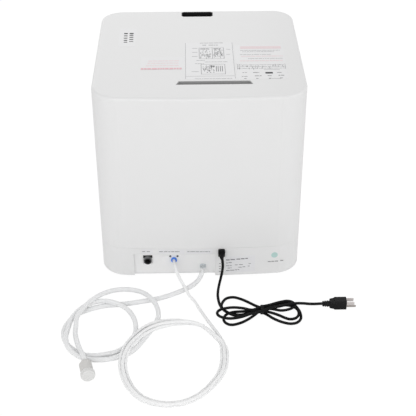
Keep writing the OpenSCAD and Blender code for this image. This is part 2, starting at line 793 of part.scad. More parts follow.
module blower_housing() {
    color("darkgray") difference() {
        union() {
            rod_y(blower_x, [tub_y1 + 10, tub_y1 + 40], blower_z, 46);
            rod_y(blower_x, [tub_y1, tub_y1 + 12], blower_z, 18);
        }
        rod_y(blower_x, [tub_y1 + 13, tub_y1 + 37], blower_z, 42);
        rod_y(blower_x, [tub_y1 - 1, tub_y1 + 14], blower_z, 14);
        rod_y(blower_x, [tub_y1 + 36, tub_y1 + 41], blower_z, 3 + run);
    }
}

module blower_wheel() {
    color("gray") {
        rod_y(blower_x, [tub_y1 + 24, tub_y1 + 42], blower_z, 3);
        rod_y(blower_x, [tub_y1 + 32, tub_y1 + 35], blower_z, 38);
        for (i = [0 : 7]) translate([blower_x, 0, blower_z]) rotate([0, i * 45, 0])
            box([20, 37], [tub_y1 + 16, tub_y1 + 32], [-1, 1]);
    }
}

module rack_rails() {
    color("whitesmoke") for (m = [0, 1]) mirror([m, 0, 0]) {
        box([tub_hw - 2, tub_hw], [rack_y[0] - 4, rack_y[1] + 8], [glide_z - 10, glide_z + glide_h + 10]);
        for (z = [glide_z - 6 - seat, glide_z + glide_h + seat])
            box([tub_hw - 10, tub_hw - 2], [rack_y[0] - 4, rack_y[1] + 8], [z, z + 6]);
    }
}

module wire_x(x, y, z) {
    translate([x[0], y, z]) rotate([0, 90, 0]) cylinder(r = wire_r, h = x[1] - x[0], $fn = 8);
}

module wire_y(x, y, z) {
    translate([x, y[1], z]) rotate([90, 0, 0]) cylinder(r = wire_r, h = y[1] - y[0], $fn = 8);
}

module wire_z(x, y, z) {
    translate([x, y, z[0]]) cylinder(r = wire_r, h = z[1] - z[0], $fn = 8);
}

rack_low = rack_z + 2 * wire_r + seat;
rack_top = rack_z + rack_h;
end_hw = rack_hw - 2 * wire_r - seat;
floor_wires = floor((2 * rack_hw - 16) / wire_pitch);
side_wires = floor((rack_y[1] - rack_y[0] - 16) / (2 * wire_pitch));
tine_h = 44;
tine_y = [-70, 10];
basket_x = [rack_hw - 60, rack_hw - 4];
basket_y = [-60, 80];
cell = (basket_y[1] - basket_y[0] - 2) / 3;

// The floor grid, four side frames, two glides and two tine rows of the rack
module rack_basket() {
    xs = [for (i = [0 : floor_wires]) (i - floor_wires / 2) * wire_pitch];
    color("lightslategray") {
        for (x = [-rack_hw, each xs, rack_hw]) wire_y(x, rack_y, rack_z);
        for (y = [rack_y[0], -40, 50, rack_y[1]]) wire_x([-rack_hw, rack_hw], y, rack_z);
        for (y = rack_y) {
            for (z = [rack_low, rack_top]) wire_x([-end_hw, end_hw], y, z);
            for (x = [-end_hw, each xs, end_hw]) wire_z(x, y, [rack_low - wire_r, rack_top + wire_r]);
        }
        for (s = [-1, 1]) {
            for (z = [rack_low, rack_top]) wire_y(s * rack_hw, rack_y, z);
            for (i = [0 : side_wires])
                wire_z(s * rack_hw, rack_y[0] + 8 + i * 2 * wire_pitch, [rack_low, rack_top]);
            box([s * (rack_hw + 8) - 6, s * (rack_hw + 8) + 6], rack_y, [glide_z, glide_z + glide_h]);
        }
        for (y = tine_y) {
            wire_x([-end_hw + 6, basket_x[0] - 6], y, rack_low);
            for (x = xs) if (x < basket_x[0] - 8) wire_z(x, y, [rack_low, rack_z + tine_h]);
        }
    }
}

module cutlery_basket() {
    z = [rack_z + wire_r + seat, rack_z + rack_h + 14];
    color("gray") difference() {
        box(basket_x, basket_y, z);
        for (i = [0 : 2]) box([basket_x[0] + 2, basket_x[1] - 2],
            [basket_y[0] + 2 + i * cell, basket_y[0] + (i + 1) * cell], [z[0] + 2, z[1] + 1]);
    }
}

module cup_shelf() {
    color("lightslategray") {
        rod_y(shelf_x, [shelf_y[0], shelf_y[1]], shelf_z, 3);
        for (y = [shelf_y[0] + 16 : 24 : shelf_y[1] - 14])
            wire_x([shelf_x, shelf_x + shelf_reach], y, shelf_z);
        for (x = [shelf_x + 26, shelf_x + 50, shelf_x + shelf_reach])
            wire_y(x, [shelf_y[0] + 10, shelf_y[1] - 10], shelf_z);
    }
}

module water_tank() {
    color("lightcyan") difference() {
        union() {
            box([-tank_x, tank_x], tank_y, tank_z);
            for (s = [-1, 1]) box([s * (tank_x - 10) - 5, s * (tank_x - 10) + 5], [-100, 100],
                [tub_z1, tank_z[0] + 1]);
        }
        box([-tank_x + 2, tank_x - 2], [tank_y[0] + 2, tank_y[1] - 2], [tank_z[0] + 2, tank_z[1] - 2]);
        box([-30, 30], [tank_y[0] - 1, tank_y[0] + 3], [filler_z + 1.5, filler_z + 12.5]);
        rod_y(tank_x - 20, [tank_y[1] - 3, tank_y[1] + 1], (tank_z[0] + tank_z[1]) / 2, line_r - 2);
    }
}

module filler_mouth() {
    color([0.05, 0.05, 0.05]) difference() {
        union() {
            plate_z(0, filler_y, filler_w, filler_d, filler_r, [filler_z, z_top - 0.6]);
            plate_z(0, filler_y, filler_w + 6, filler_d + 6, filler_r + 3,
                [z_top - wall - 3, z_top - wall - 1]);
            box([-32, 32], [filler_y, tank_y[0]], [filler_z, filler_z + 14]);
        }
        plate_z(0, filler_y, filler_w - 3, filler_d - 3, filler_r - 1.5, [filler_z + 1.5, z_top]);
        box([-30, 30], [filler_y, tank_y[0] + 1], [filler_z + 1.5, filler_z + 12.5]);
    }
}

module vent_insert() {
    color("gray") translate([vent_x, vent_y, z_top - 14]) difference() {
        union() {
            linear_extrude(14 - 0.4) vent_outline();
            translate([0, 0, 10 - wall - 2]) linear_extrude(5) vent_outline(3);
        }
        translate([0, 0, 2]) linear_extrude(13) vent_outline(-1.5);
        for (i = [-5 : 5]) box([i * 13 - 4, i * 13 + 4], [-vent_d / 2 + 4, vent_d / 2 - 4], [-1, 3]);
    }
}

module inlet_valve() {
    color("dimgray") {
        box([inlet_x - 14, inlet_x + 16], [line_y - 12, panel_y - 9], [inlet_z - 13, inlet_z + 3.9]);
        box([inlet_x - 10, inlet_x + 10], [line_y - 8, line_y + 8], [inlet_z + 3.9, inlet_z + 20]);
        box([inlet_x - 8, inlet_x + 8], [line_y - 12, line_y + 4], [base_floor, inlet_z - 12]);
    }
}

module feet() {
    color("dimgray") for (x = [-foot_x, foot_x], y = [-foot_y, foot_y]) rod_z(x, y, [0, z_base], foot_r);
}

module screws() {
    color("dimgray") {
        for (x = [-screw_x, screw_x], y = [-screw_y, screw_y]) {
            rod_z(x, y, [z_base - 2.4, z_base], 4);
            rod_z(x, y, [z_base, base_floor + 8], 1.75);
        }
        for (s = [-1, 1]) {
            rod_y(port_x + s * 7.8, [panel_y, panel_y + 1.2], port_z + 8.5, 2.2);
            rod_y(port_x + s * 7.8, [panel_y - 3, panel_y], port_z + 8.5, 1.2);
        }
    }
}

// Thin films following the back
module back_film(x, z) {
    intersection() {
        difference() {
            slab(z[0], z[1], -film);
            slab(z[0] - 1, z[1] + 1);
        }
        box(x, [0, hd + 1], z);
    }
}

module labels() {
    color("ghostwhite") {
        box([134, 171], [-117, -25], [z_top, z_top + film]);
        box([-74, 29], [-41, 131], [z_top, z_top + film]);
        box([30.5, 120], [28, 82], [z_top, z_top + film]);
        box([-180, -76], [-28, 133], [z_top, z_top + film]);
        for (x = [[102.5, 128], [35, 91], [-25, 32]])
            back_film(x, [z_base + recess_h + 2, z_seam - 1]);
        back_film([-117, -53], [z_base + 8, z_base + 51]);
        intersection() {
            back_film([-170, -145], [z_base + 40, z_base + 60]);
            rod_y(-159, [0, hd], z_base + 49, 7);
        }
    }
}

module inlet_stub() {
    color([0.25, 0.26, 0.27]) difference() {
        union() {
            box([inlet_x - 10, inlet_x + 10], [panel_y - 9, panel_y - 2],
                [inlet_z - 11, inlet_z + 11]);
            rod_y(inlet_x, [panel_y - 3, panel_y + inlet_len], inlet_z, inlet_r);
        }
        rod_y(inlet_x, [panel_y - 7, panel_y + inlet_len + 1], inlet_z, inlet_bore_r);
    }
}

module push_collet() {
    color([0.35, 0.52, 0.82]) difference() {
        union() {
            rod_y(port_x, [panel_y + 0.6 + collet_travel, panel_y + 4.6], port_z, collet_r);
            rod_y(port_x, [panel_y - 14, panel_y + 4], port_z, collet_r - 1);
        }
        rod_y(port_x, [panel_y - 15, panel_y + 6], port_z, thin_r + 0.5);
    }
}

module drain_stub() {
    color("silver") difference() {
        union() {
            plate_y(drain_stub_x, drain_stub_z, 13, 10, 4.99, [panel_y - 9, panel_y + 4]);
            plate_y(drain_stub_x, drain_stub_z, 17, 14, 6.99, [panel_y - 9, panel_y - 3]);
        }
        rod_y(drain_stub_x, [panel_y - 10, panel_y - 1], drain_stub_z, 3.5);
    }
}

module cord_grip() {
    color([0.06, 0.06, 0.06]) {
        rod_y(grip_x, [panel_y - 6, grip_y + 1], grip_z, 6);
        difference() {
            plate_y(grip_x, grip_z, grip_w, grip_h, 2.5, [panel_y, grip_y + grip_len]);
            slab(z_base, z_top);
        }
        translate([grip_x, grip_y + grip_len - eps, cord_route[0][2]]) rotate([-90, 0, 0])
            cylinder(r1 = 6, r2 = cord_r + 0.8, h = cord_route[0][1] - grip_y - grip_len + eps);
    }
}

module power_cord() {
    color([0.06, 0.06, 0.06]) {
        tube(cord_route, cord_r);
        tube(plug_route, cord_r);
    }
}

module hank_outline() {
    for (c = hank_lobes) translate([c[0], c[1]]) circle(r = c[2]);
    translate([hank_waist[0], hank_waist[1]]) square([hank_waist[2], hank_waist[3]]);
}

module cord_hank() {
    color([0.06, 0.06, 0.06]) difference() {
        linear_extrude(hank_h) hank_outline();
        difference() {
            box(tie_x, [hank_waist[1] - 1, hank_waist[1] + hank_waist[3] + 1], [-1, hank_h + 1]);
            box([tie_x[0] - 1, tie_x[1] + 1], tie_y, [2, hank_h - 2]);
        }
    }
}

module cord_tie() {
    color([0.03, 0.03, 0.03]) difference() {
        box(tie_x, [tie_y[0] - 2, tie_y[1] + 2], [0, hank_h]);
        box([tie_x[0] - 1, tie_x[1] + 1], tie_y, [2, hank_h - 2]);
    }
}

module plug() {
    blade = [1.5, 6.4, 16.5];
    color([0.06, 0.06, 0.06]) translate(plug_at) {
        rotate([0, -90, 0]) cylinder(r1 = cord_r + 1, r2 = 7, h = 15);
        translate([-15, 0, 0]) rotate([0, -90, 0]) linear_extrude(35) tile(20, 17, 7);
    }
    color("silver") translate(plug_at) {
        for (s = [-1, 1]) box([-50 - blade[2], -50 + eps],
            [s * 6.35 - blade[0] / 2, s * 6.35 + blade[0] / 2], [2, 2 + blade[1]]);
        rod_x([-50 - 19, -50 + eps], 0, -6.7, 2.4);
    }
}

module coil_outline(c, grow = 0) {
    for (y = [c[1], c[2]]) translate([coil_x, y]) circle(r = c[0] + grow);
    translate([coil_x - c[0] - grow, c[1]]) square([2 * (c[0] + grow), c[2] - c[1]]);
}

module thin_hose() {
    color("whitesmoke") tube(thin_route, thin_r);
}

module thin_coil() {
    color("whitesmoke") linear_extrude(coil_h) difference() {
        coil_outline(coil_outer);
        coil_outline(coil_inner);
    }
}

module drain_hose() {
    color("gainsboro") {
        tube(drain_route, drain_r);
        tube(end_route, drain_r);
    }
}

module loops_outline(c) {
    hull() for (p = c) translate([p[0], p[1]]) circle(r = p[2], $fn = 32);
}

module drain_coil() {
    color("gainsboro") linear_extrude(loop_h) difference() {
        loops_outline(loop_outer);
        loops_outline(loop_inner);
        coil_outline(coil_outer, 0.5);
    }
}

module hose_sleeve() {
    color("tan") translate(end_at) rotate(end_turn) {
        rod_y(0, [-3, 4], 0, drain_r + 1.5);
        rod_y(0, [4, sleeve_len], 0, sleeve_r);
        rod_y(0, [sleeve_len, sleeve_len + 6], 0, nut_r - 3.5 - run);
    }
}

module hose_nut() {
    color("whitesmoke") translate(end_at) rotate(end_turn) difference() {
        union() {
            rod_y(0, [sleeve_len + seat, sleeve_len + nut_len - 2], 0, nut_r);
            translate([0, sleeve_len + nut_len - 2, 0]) rotate([-90, 0, 0])
                cylinder(r1 = nut_r, r2 = nut_r - 2, h = 2);
        }
        rod_y(0, [sleeve_len, sleeve_len + 6.3], 0, nut_r - 3.5);
    }
}

base_housing();
rear_panel();
hood();
front_frame();
control_panel();
button(0);  // power_button
button(1);  // program_button
button(2);  // dry_button
button(3);  // start_button
control_board();
door_outer();
door_inner();
door_glass();
door_seal();
door_hook();
detergent_slide();
latch_case();
latch_plunger();
hinge_pins();
tub();
sump();
filter_basket();
spray_hub();
lower_spray_arm();
upper_spray_arm();
riser_pipe();
heater();
float_bell();
wash_pump();
wash_impeller();
drain_pump();
drain_impeller();
pipework();
blower_housing();
blower_wheel();
rack_rails();
rack_basket();
cutlery_basket();
cup_shelf();
water_tank();
filler_mouth();
vent_insert();
inlet_valve();
feet();
screws();
labels();
inlet_stub();
push_collet();
drain_stub();
cord_grip();
power_cord();
cord_hank();
cord_tie();
plug();
thin_hose();
thin_coil();
drain_hose();
drain_coil();
hose_sleeve();
hose_nut();
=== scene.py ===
import json
import math
import random
import bpy
import bmesh
from mathutils import Matrix, Vector


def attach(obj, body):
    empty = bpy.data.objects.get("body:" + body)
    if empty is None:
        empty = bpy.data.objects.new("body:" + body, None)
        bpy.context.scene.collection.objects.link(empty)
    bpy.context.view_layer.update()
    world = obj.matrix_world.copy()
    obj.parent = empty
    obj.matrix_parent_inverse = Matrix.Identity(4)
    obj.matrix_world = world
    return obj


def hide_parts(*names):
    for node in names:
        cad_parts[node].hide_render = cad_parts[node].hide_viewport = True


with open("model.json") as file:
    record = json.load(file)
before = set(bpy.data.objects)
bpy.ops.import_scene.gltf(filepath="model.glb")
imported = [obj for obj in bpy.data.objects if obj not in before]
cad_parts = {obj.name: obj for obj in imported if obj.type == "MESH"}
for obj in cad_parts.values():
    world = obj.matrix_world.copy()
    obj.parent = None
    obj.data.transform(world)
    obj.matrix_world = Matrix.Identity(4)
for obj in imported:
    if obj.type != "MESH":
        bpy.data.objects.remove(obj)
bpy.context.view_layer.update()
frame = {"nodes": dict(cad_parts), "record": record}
mm = 0.001
print("frame loaded")

rearCamera = {
    "place": (0.02154, 1.93834, 1.35275),
    "right": (-0.999757, 0.022026, -0.000829),
    "up": (-0.013046, -0.561011, 0.827705),
    "back": (0.017766, 0.827515, 0.561162),
    "lens": 86.78, "sensor": 36, "clip": (0.05, 60),
}

stageSet = {
    "floorSide": 14.0, "floorColour": (0.93, 0.93, 0.93, 1), "floorRough": 0.9,
    "floorLift": 0.93,      # share of plain white in the floor the camera sees
    "floorGlow": 1.04,
    "sky": 0.74,            # how strongly the white room lights the machine
    "aim": (0, 0.1, 0.2),
    # each lamp's place, side and power
    "lamps": {"key": ((0.7, 3.3, 1.7), 2.4, 28), "side": ((-2.8, 0.6, 1.2), 2.2, 9),
              "front": ((0.6, -3.0, 1.3), 2.2, 12)},
}
plainWhite = (1, 1, 1, 1)


def linked(name, data):     # a new object in the scene
    thing = bpy.data.objects.new(name, data)
    bpy.context.scene.collection.objects.link(thing)
    return thing


def makeCamera():
    s = rearCamera
    lens = bpy.data.cameras.new("rearCamera")
    lens.lens, lens.sensor_width = s["lens"], s["sensor"]
    lens.clip_start, lens.clip_end = s["clip"]
    camera = linked("rearCamera", lens)
    turn = Matrix((s["right"], s["up"], s["back"])).transposed()
    camera.matrix_world = Matrix.Translation(s["place"]) @ turn.to_4x4()
    bpy.context.scene.camera = camera


class Sock:                 # a node's output that takes part in sums
    def __init__(self, tree, out):
        self.tree, self.out = tree, out

    def sum(self, operation, *values):
        node = self.tree.nodes.new("ShaderNodeMath")
        node.operation = operation
        for place, value in zip(node.inputs, values):
            if isinstance(value, Sock):
                self.tree.links.new(value.out, place)
            else:
                place.default_value = value
        return Sock(self.tree, node.outputs[0])

    def __add__(self, other): return self.sum("ADD", self, other)
    def __radd__(self, other): return self.sum("ADD", other, self)
    def __sub__(self, other): return self.sum("SUBTRACT", self, other)
    def __mul__(self, other): return self.sum("MULTIPLY", self, other)
    def __gt__(self, other): return self.sum("GREATER_THAN", self, other)
    def __lt__(self, other): return self.sum("LESS_THAN", self, other)
    def __abs__(self): return self.sum("ABSOLUTE", self)
    def atLeast(self, other): return self.sum("MAXIMUM", self, other)
    def frac(self): return self.sum("FRACT", self)


class Finish:               # one material and its nodes
    def __init__(self, name, **shader):
        self.material = bpy.data.materials.new(name)
        self.material.use_nodes = True
        self.tree = self.material.node_tree
        self.tree.nodes.clear()
        self.end = self.tree.nodes.new("ShaderNodeOutputMaterial")
        self.shader = self.tree.nodes.new("ShaderNodeBsdfPrincipled")
        self.tree.links.new(self.shader.outputs[0], self.end.inputs[0])
        self.paint(**shader)

    def feed(self, node, socket, value):
        place = node.inputs[socket]
        if isinstance(value, Sock):
            self.tree.links.new(value.out, place)
        elif isinstance(value, tuple) and len(value) == 3 and len(getattr(place, "default_value", ())) == 4:
            place.default_value = (*value, 1)
        else:
            place.default_value = value

    def paint(self, **values):      # sets the shader's inputs
        for socket, value in values.items():
            self.feed(self.shader, socket.replace("_", " "), value)

    def node(self, kind, values=None, **settings):
        node = self.tree.nodes.new("ShaderNode" + kind)
        for setting, value in settings.items():
            setattr(node, setting, value)
        for socket, value in (values or {}).items():
            self.feed(node, socket, value)
        return {out.name: Sock(self.tree, out) for out in node.outputs if out.enabled}

    def place(self):
        return self.node("TexCoord")["Object"]

    def axes(self):
        return self.node("SeparateXYZ", {"Vector": self.place()})

    def noise(self, scale, detail=2.0, vector=None):
        return self.node("TexNoise", {"Vector": vector or self.place(), "Scale": scale, "Detail": detail})["Fac"]

    def mix(self, share, first, second):
        return self.node("Mix", {0: share, 6: first, 7: second}, data_type="RGBA")["Result"]

    def shade(self, share, colour, dark, light):    # one colour between two depths of it
        return self.mix(share, tinted(colour, dark), tinted(colour, light))

    def bump(self, height, strength, depth):
        self.paint(Normal=self.node("Bump", {"Height": height, "Strength": strength, "Distance": depth})["Normal"])


def tinted(colour, by):
    return tuple(min(1.0, c * by) for c in colour)


# Moulded plastic: slow colour drift, a fine grain, a little dust in the roughness
def mouldedPlastic(name, colour, rough, grain):
    finish = Finish(name)
    slow, fine = finish.noise(7), finish.noise(1400, 3)
    finish.paint(Base_Color=finish.shade(slow, colour, 0.988, 1.012),
                 Roughness=rough + (fine - 0.5) * 0.10 + (slow - 0.5) * 0.06)
    finish.bump(fine, grain, 0.0001)
    return finish


# Satin metal with brushing drawn out along one axis
def brushedMetal(name, colour, rough, axis=0):
    finish = Finish(name, Metallic=1.0)
    stretch = tuple(12 if k == axis else 900 for k in range(3))
    brushed = finish.node("Mapping", {"Vector": finish.place(), "Scale": stretch}, vector_type="POINT")["Vector"]
    lines, cloud = finish.noise(1, 3, brushed), finish.noise(11)
    finish.paint(Base_Color=finish.shade(lines * 0.6 + cloud * 0.4, colour, 0.9, 1.1),
                 Roughness=rough + (lines - 0.5) * 0.18 + (cloud - 0.5) * 0.08)
    finish.bump(lines, 0.12, 0.0001)
    return finish


def makeFloor():
    s = stageSet
    bpy.ops.object.select_all(action="DESELECT")
    bpy.ops.mesh.primitive_plane_add(size=s["floorSide"])
    floor = bpy.context.object
    floor.name = "paleFloor"
    finish = Finish("paleFloor", Base_Color=s["floorColour"], Roughness=s["floorRough"])
    seen = finish.node("LightPath")["Is Camera Ray"] * s["floorLift"]
    glow = finish.node("Emission", {"Color": plainWhite, "Strength": s["floorGlow"]})["Emission"]
    share = finish.tree.nodes.new("ShaderNodeMixShader")
    finish.feed(share, 0, seen)
    finish.tree.links.new(finish.shader.outputs[0], share.inputs[1])
    finish.feed(share, 2, glow)
    finish.tree.links.new(share.outputs[0], finish.end.inputs[0])
    floor.data.materials.append(finish.material)


def makeRoom():
    s = stageSet
    world = bpy.data.worlds.new("whiteRoom")
    bpy.context.scene.world = world
    world.use_nodes = True
    tree = world.node_tree
    tree.nodes.clear()
    room, end = (tree.nodes.new("ShaderNode" + kind) for kind in ("Background", "OutputWorld"))
    room.inputs["Color"].default_value = plainWhite
    rays = tree.nodes.new("ShaderNodeLightPath")
    camera, glossy, through = (Sock(tree, rays.outputs[k]) for k in (
        "Is Camera Ray", "Is Glossy Ray", "Is Transmission Ray"))
    plain = camera.atLeast(glossy.atLeast(through))
    tree.links.new((plain * (1 - s["sky"]) + s["sky"]).out, room.inputs["Strength"])
    tree.links.new(room.outputs[0], end.inputs[0])
    for name, (place, side, power) in s["lamps"].items():
        lamp = bpy.data.lights.new(name + "Lamp", "AREA")
        lamp.shape, lamp.size, lamp.energy = "SQUARE", side, power
        place = Vector(place)
        aim = (Vector(s["aim"]) - place).to_track_quat("-Z", "Y")
        linked(name + "Lamp", lamp).matrix_world = Matrix.Translation(place) @ aim.to_matrix().to_4x4()
    bpy.context.scene.view_settings.view_transform = "Standard"


makeCamera()
makeFloor()
makeRoom()
print("camera and stage made")

laying = {
    "finer": 16,            # short steps between two given points
    "clearOf": 2.5,         # a tube passes over itself only from this many diameters on
    "hump": 60, "slope": 0.11, "rounds": 6, "evened": 4, "lift": 0.1, "under": 30,
}


# Evenly spaced points on a smooth curve through the given ones, all in metres
def smoothRun(points, step):
    knots = [Vector(p) * mm for p in points]
    knots = [2 * knots[0] - knots[1]] + knots + [2 * knots[-1] - knots[-2]]
    fine = []
    for a, b, c, d in zip(knots, knots[1:], knots[2:], knots[3:]):
        spans = [max(1e-6, (q - p).length ** 0.5) for p, q in ((a, b), (b, c), (c, d))]
        t1, t2, t3 = spans[0], spans[0] + spans[1], sum(spans)
        for i in range(laying["finer"]):
            t = t1 + (t2 - t1) * i / laying["finer"]
            share = (t - t1) / (t2 - t1)
            ab, bc, cd = a.lerp(b, t / t1), b.lerp(c, share), c.lerp(d, (t - t2) / (t3 - t2))
            fine.append(ab.lerp(bc, t / t2).lerp(bc.lerp(cd, (t - t1) / (t3 - t1)), share))
    fine.append(knots[-2])
    run, left = [fine[0]], step
    for p, q in zip(fine, fine[1:]):
        gap = (q - p).length
        while gap >= left:
            p = p.lerp(q, left / gap)
            gap -= left
            left = step
            run.append(p.copy())
        left -= gap
    if (run[-1] - fine[-1]).length > step * 0.3:
        run.append(fine[-1])
    else:
        run[-1] = fine[-1]
    return run


def towardsCamera(point):   # how a point moves for each metre that it rises, and still covers its place
    eye = Vector(rearCamera["place"])
    return (eye - point) / (eye.z - point.z)


def relaxed(run, least, rounds=6):          # eases the kinks that are tighter than the least radius
    for _ in range(rounds):
        for k in range(3, len(run) - 3):
            a, b, c = run[k - 2], run[k], run[k + 2]
            twice = 2 * (b - a).cross(c - b).length
            if twice * least > (b - a).length * (c - b).length * (c - a).length:
                run[k] = b.lerp((run[k - 1] + run[k + 1]) / 2, 0.5)
    return run


# Lifts each later stretch over what it crosses, in long low humps
def layDown(run, diameter, step, under=(), pinned=0):
    s = laying
    apart, reach = int(s["clearOf"] * diameter / step) + 1, int(s["hump"] * mm / step)
    flatRun = [p.copy() for p in run]
    for _ in range(s["rounds"]):
        need = []
        for i, p in enumerate(run):
            top = 0.0
            others = [(q, diameter) for q in run[:max(0, i - apart)]]
            others += [(q, (diameter + wide) / 2) for other, wide in under for q in other if q.z < s["under"] * mm]
            for q, gap in others:
                flat = (p.x - q.x) ** 2 + (p.y - q.y) ** 2
                if flat < gap ** 2:
                    top = max(top, q.z + math.sqrt(gap ** 2 - flat) - flatRun[i].z)
            need.append(top)
        lift = [max(need[k] - s["slope"] * abs(i - k) * step
                    for k in range(max(0, i - reach), min(len(run), i + reach + 1))) for i in range(len(run))]
        for _ in range(s["evened"]):        # rounds the humps without sinking them
            near = [lift[max(0, i - 3):i + 4] for i in range(len(lift))]
            lift = [max(sum(some) / len(some), least) for some, least in zip(near, need)]
        for i, (p, base, up) in enumerate(zip(run, flatRun, lift)):
            held = min(1.0, (len(run) - 1 - i) * step / pinned) if pinned else 1.0
            p.xyz = base + towardsCamera(base) * max(0.0, up) * held
    return run


drainHose = {
    "diameter": 10, "step": 7,
    "drop": [
        (-4.5, 207, 26), (-4, 214, 23.5), (-2, 221.5, 19.5), (2, 230.5, 15), (9, 240.5, 10.7), (20, 250.5, 7.3),
        (34, 260, 5.6), (54, 272, 5.1), (77, 284, 5.1), (97, 291.5, 5.1)],
    "loops": [
        (137, 301), (170, 307), (204, 311), (237, 323), (259, 337), (272, 357), (281, 384), (280, 404), (271, 428),
        (254, 448), (236, 460), (214, 463.5), (184, 458), (164, 449), (149, 431), (137, 404), (136, 373), (144, 343),
        (163, 315), (190, 298), (219, 296), (246, 312), (266, 343), (274, 385), (275, 410), (268, 437), (251, 459),
        (229, 472), (204, 475.5), (168, 469), (140, 452), (111, 404), (94, 364), (90, 348), (93, 320), (105, 291),
        (126, 268), (161, 257), (196, 263), (222, 281), (239, 302), (258, 344), (258, 371), (257, 397), (251, 424),
        (243, 447)],
    "end": [(238, 460, 9), (233.6, 474, 12.5), (229.8, 491.5, 14), (229.2, 494, 14)],
    "colour": (0.89, 0.895, 0.90), "cover": 0.93, "atPort": 0.22, "fold": 40, "swell": 1,
}

supplyHose = {
    "diameter": 6.5, "step": 6,
    "drop": [
        (58, 192, 44), (58, 209, 44), (57, 218, 42.5), (54.5, 228, 38), (51, 236, 30.5), (46, 245, 24), (41, 254, 19),
        (35, 265, 14.5), (30, 277, 11), (24, 287, 7.5), (15, 300, 5), (6, 321, 3.6), (-4, 344, 3.4), (-11, 360, 3.4),
        (-21.5, 382, 3.4), (-32, 404, 3.4)],
    # middle of the coil, with how far its outer and inner turns lie from it
    "turn": [
        (-40, 428.7, 5.5), (-42.3, 452.9, 5.5), (-42, 476.5, 5.5), (-39.7, 496.7, 5.5), (-32, 520.7, 5),
        (-17.6, 545.5, 4.5), (0.3, 567.7, 4), (19.7, 583.9, 3.6), (42.6, 594.5, 3.4), (65.4, 597.4, 3.4),
        (88.2, 594.2, 3.8), (113.2, 583.1, 4.2), (134.2, 559.8, 4.8), (149, 529.2, 5.4), (156.4, 498, 5.6),
        (157.4, 477.8, 5.6), (154.5, 454.3, 6), (146.4, 429.5, 6.5), (132, 406.5, 7.4), (113, 385, 9),
        (90.5, 371, 10.6), (67.7, 364.5, 11.3), (42.6, 362.3, 11), (17.5, 366, 9), (-3.1, 377.5, 7),
        (-21.3, 399.6, 5.8)],
    "turns": 3,
    "layers": [(0, 1), (0.75, 1), (1, -1), (1.75, -1), (2, 0), (3, 0)],     # how far out the coil lies, turn by turn
    "colour": (0.95, 0.953, 0.957), "cover": 0.95, "atPort": 0.85, "swell": 1,
}

mainsLead = {
    "diameter": 5.5, "step": 4,
    "drop": [
        (-45, 233, 67), (-46, 240, 60), (-46.3, 242.5, 53), (-45.2, 246, 43.5), (-41.7, 250, 26), (-37.8, 255, 10),
        (-36, 263, 5), (-34.7, 278, 3.3), (-35.9, 298, 3.1)],
    "hank": [
        (-39.7, 316), (-48, 330.8), (-58.8, 339.4), (-77.6, 344.2), (-101.8, 339), (-121.2, 336), (-134, 344),
        (-148, 358), (-166, 369.7), (-181.4, 374.4), (-195, 371), (-203.6, 359.3), (-204.3, 341), (-200.8, 327.4),
        (-194.8, 314.8), (-184.3, 306), (-164.7, 309), (-143, 318), (-124.9, 327), (-111, 343), (-94.3, 359.2),
        (-76.4, 370.8), (-58.9, 375.2), (-47.8, 370), (-43.8, 358), (-45.7, 349.6), (-52.4, 341), (-63.7, 335.5),
        (-83, 333.5), (-102, 333), (-121.4, 332), (-134, 334.5), (-146.3, 339.7), (-158.5, 346.6), (-173.4, 357),
        (-184, 361), (-195, 356), (-200.8, 344.6), (-200, 331), (-191, 319.7), (-175.5, 315), (-151, 321),
        (-125, 322), (-112.8, 315.5), (-103.5, 308), (-85, 294), (-67.4, 286.5), (-52.7, 290), (-44.5, 301.7),
        (-41.4, 313.7), (-43.7, 324.2), (-52.6, 334.3), (-63.4, 343.9), (-82.3, 346.8), (-101.8, 338),
        (-121.4, 328.5), (-142.5, 326), (-166, 332), (-184, 327.5), (-196.2, 317.3), (-196.4, 306), (-183, 301),
        (-165, 304.5), (-143.5, 313), (-125.3, 319), (-105.5, 328.9), (-86.7, 323), (-66, 320), (-48.3, 322.6),
        (-36.9, 327.3), (-29.2, 334.5), (-29.7, 343.6), (-38.6, 349.4), (-48.7, 353.8), (-61.3, 355), (-82, 350.4),
        (-101.7, 341), (-121.3, 335), (-142.6, 325), (-167.3, 317), (-183.8, 312), (-198.6, 309.5), (-214, 310)],
    "end": [(-226, 313, 4), (-238, 316.5, 6.5), (-250, 320, 10), (-256, 321, 10.5)],
    "colour": (0.0032, 0.0032, 0.0036), "swell": 1.07, "fold": 16.5,
}


def translucentTube(name, s):
    finish = Finish(name, Specular_IOR_Level=0.22, Subsurface_Weight=0.35, Subsurface_Scale=0.003,
                    Subsurface_Radius=(1.0, 1.0, 1.0))
    clear = finish.node("MapRange", {"Value": finish.axes()["Y"], "From Min": 0.214, "From Max": 0.236,
                                     "To Min": s["atPort"]})["Result"]
    cloud, fine = finish.noise(26, 3), finish.noise(500)
    finish.paint(Alpha=clear * s["cover"],          # another clearness where it leaves its port
                 Base_Color=finish.shade(cloud, s["colour"], 0.975, 1.025), Roughness=0.46 + (cloud - 0.5) * 0.12)
    finish.bump(fine, 0.05, 0.0002)
    return finish


def cordRubber(name, colour, rough, shine):
    finish = Finish(name, Specular_IOR_Level=shine)
    slow, fine = finish.noise(40, 3), finish.noise(1600)
    finish.paint(Base_Color=finish.shade(slow, colour, 0.7, 1.5),
                 Roughness=rough + (fine - 0.5) * 0.2 + (slow - 0.5) * 0.1)
    finish.bump(fine, 0.2, 0.0002)
    return finish


def onFloor(s, points):     # the places of a tube that lies on the worktop
    return [(x, y, s["diameter"] * s["swell"] / 2 + laying["lift"]) for x, y in points]


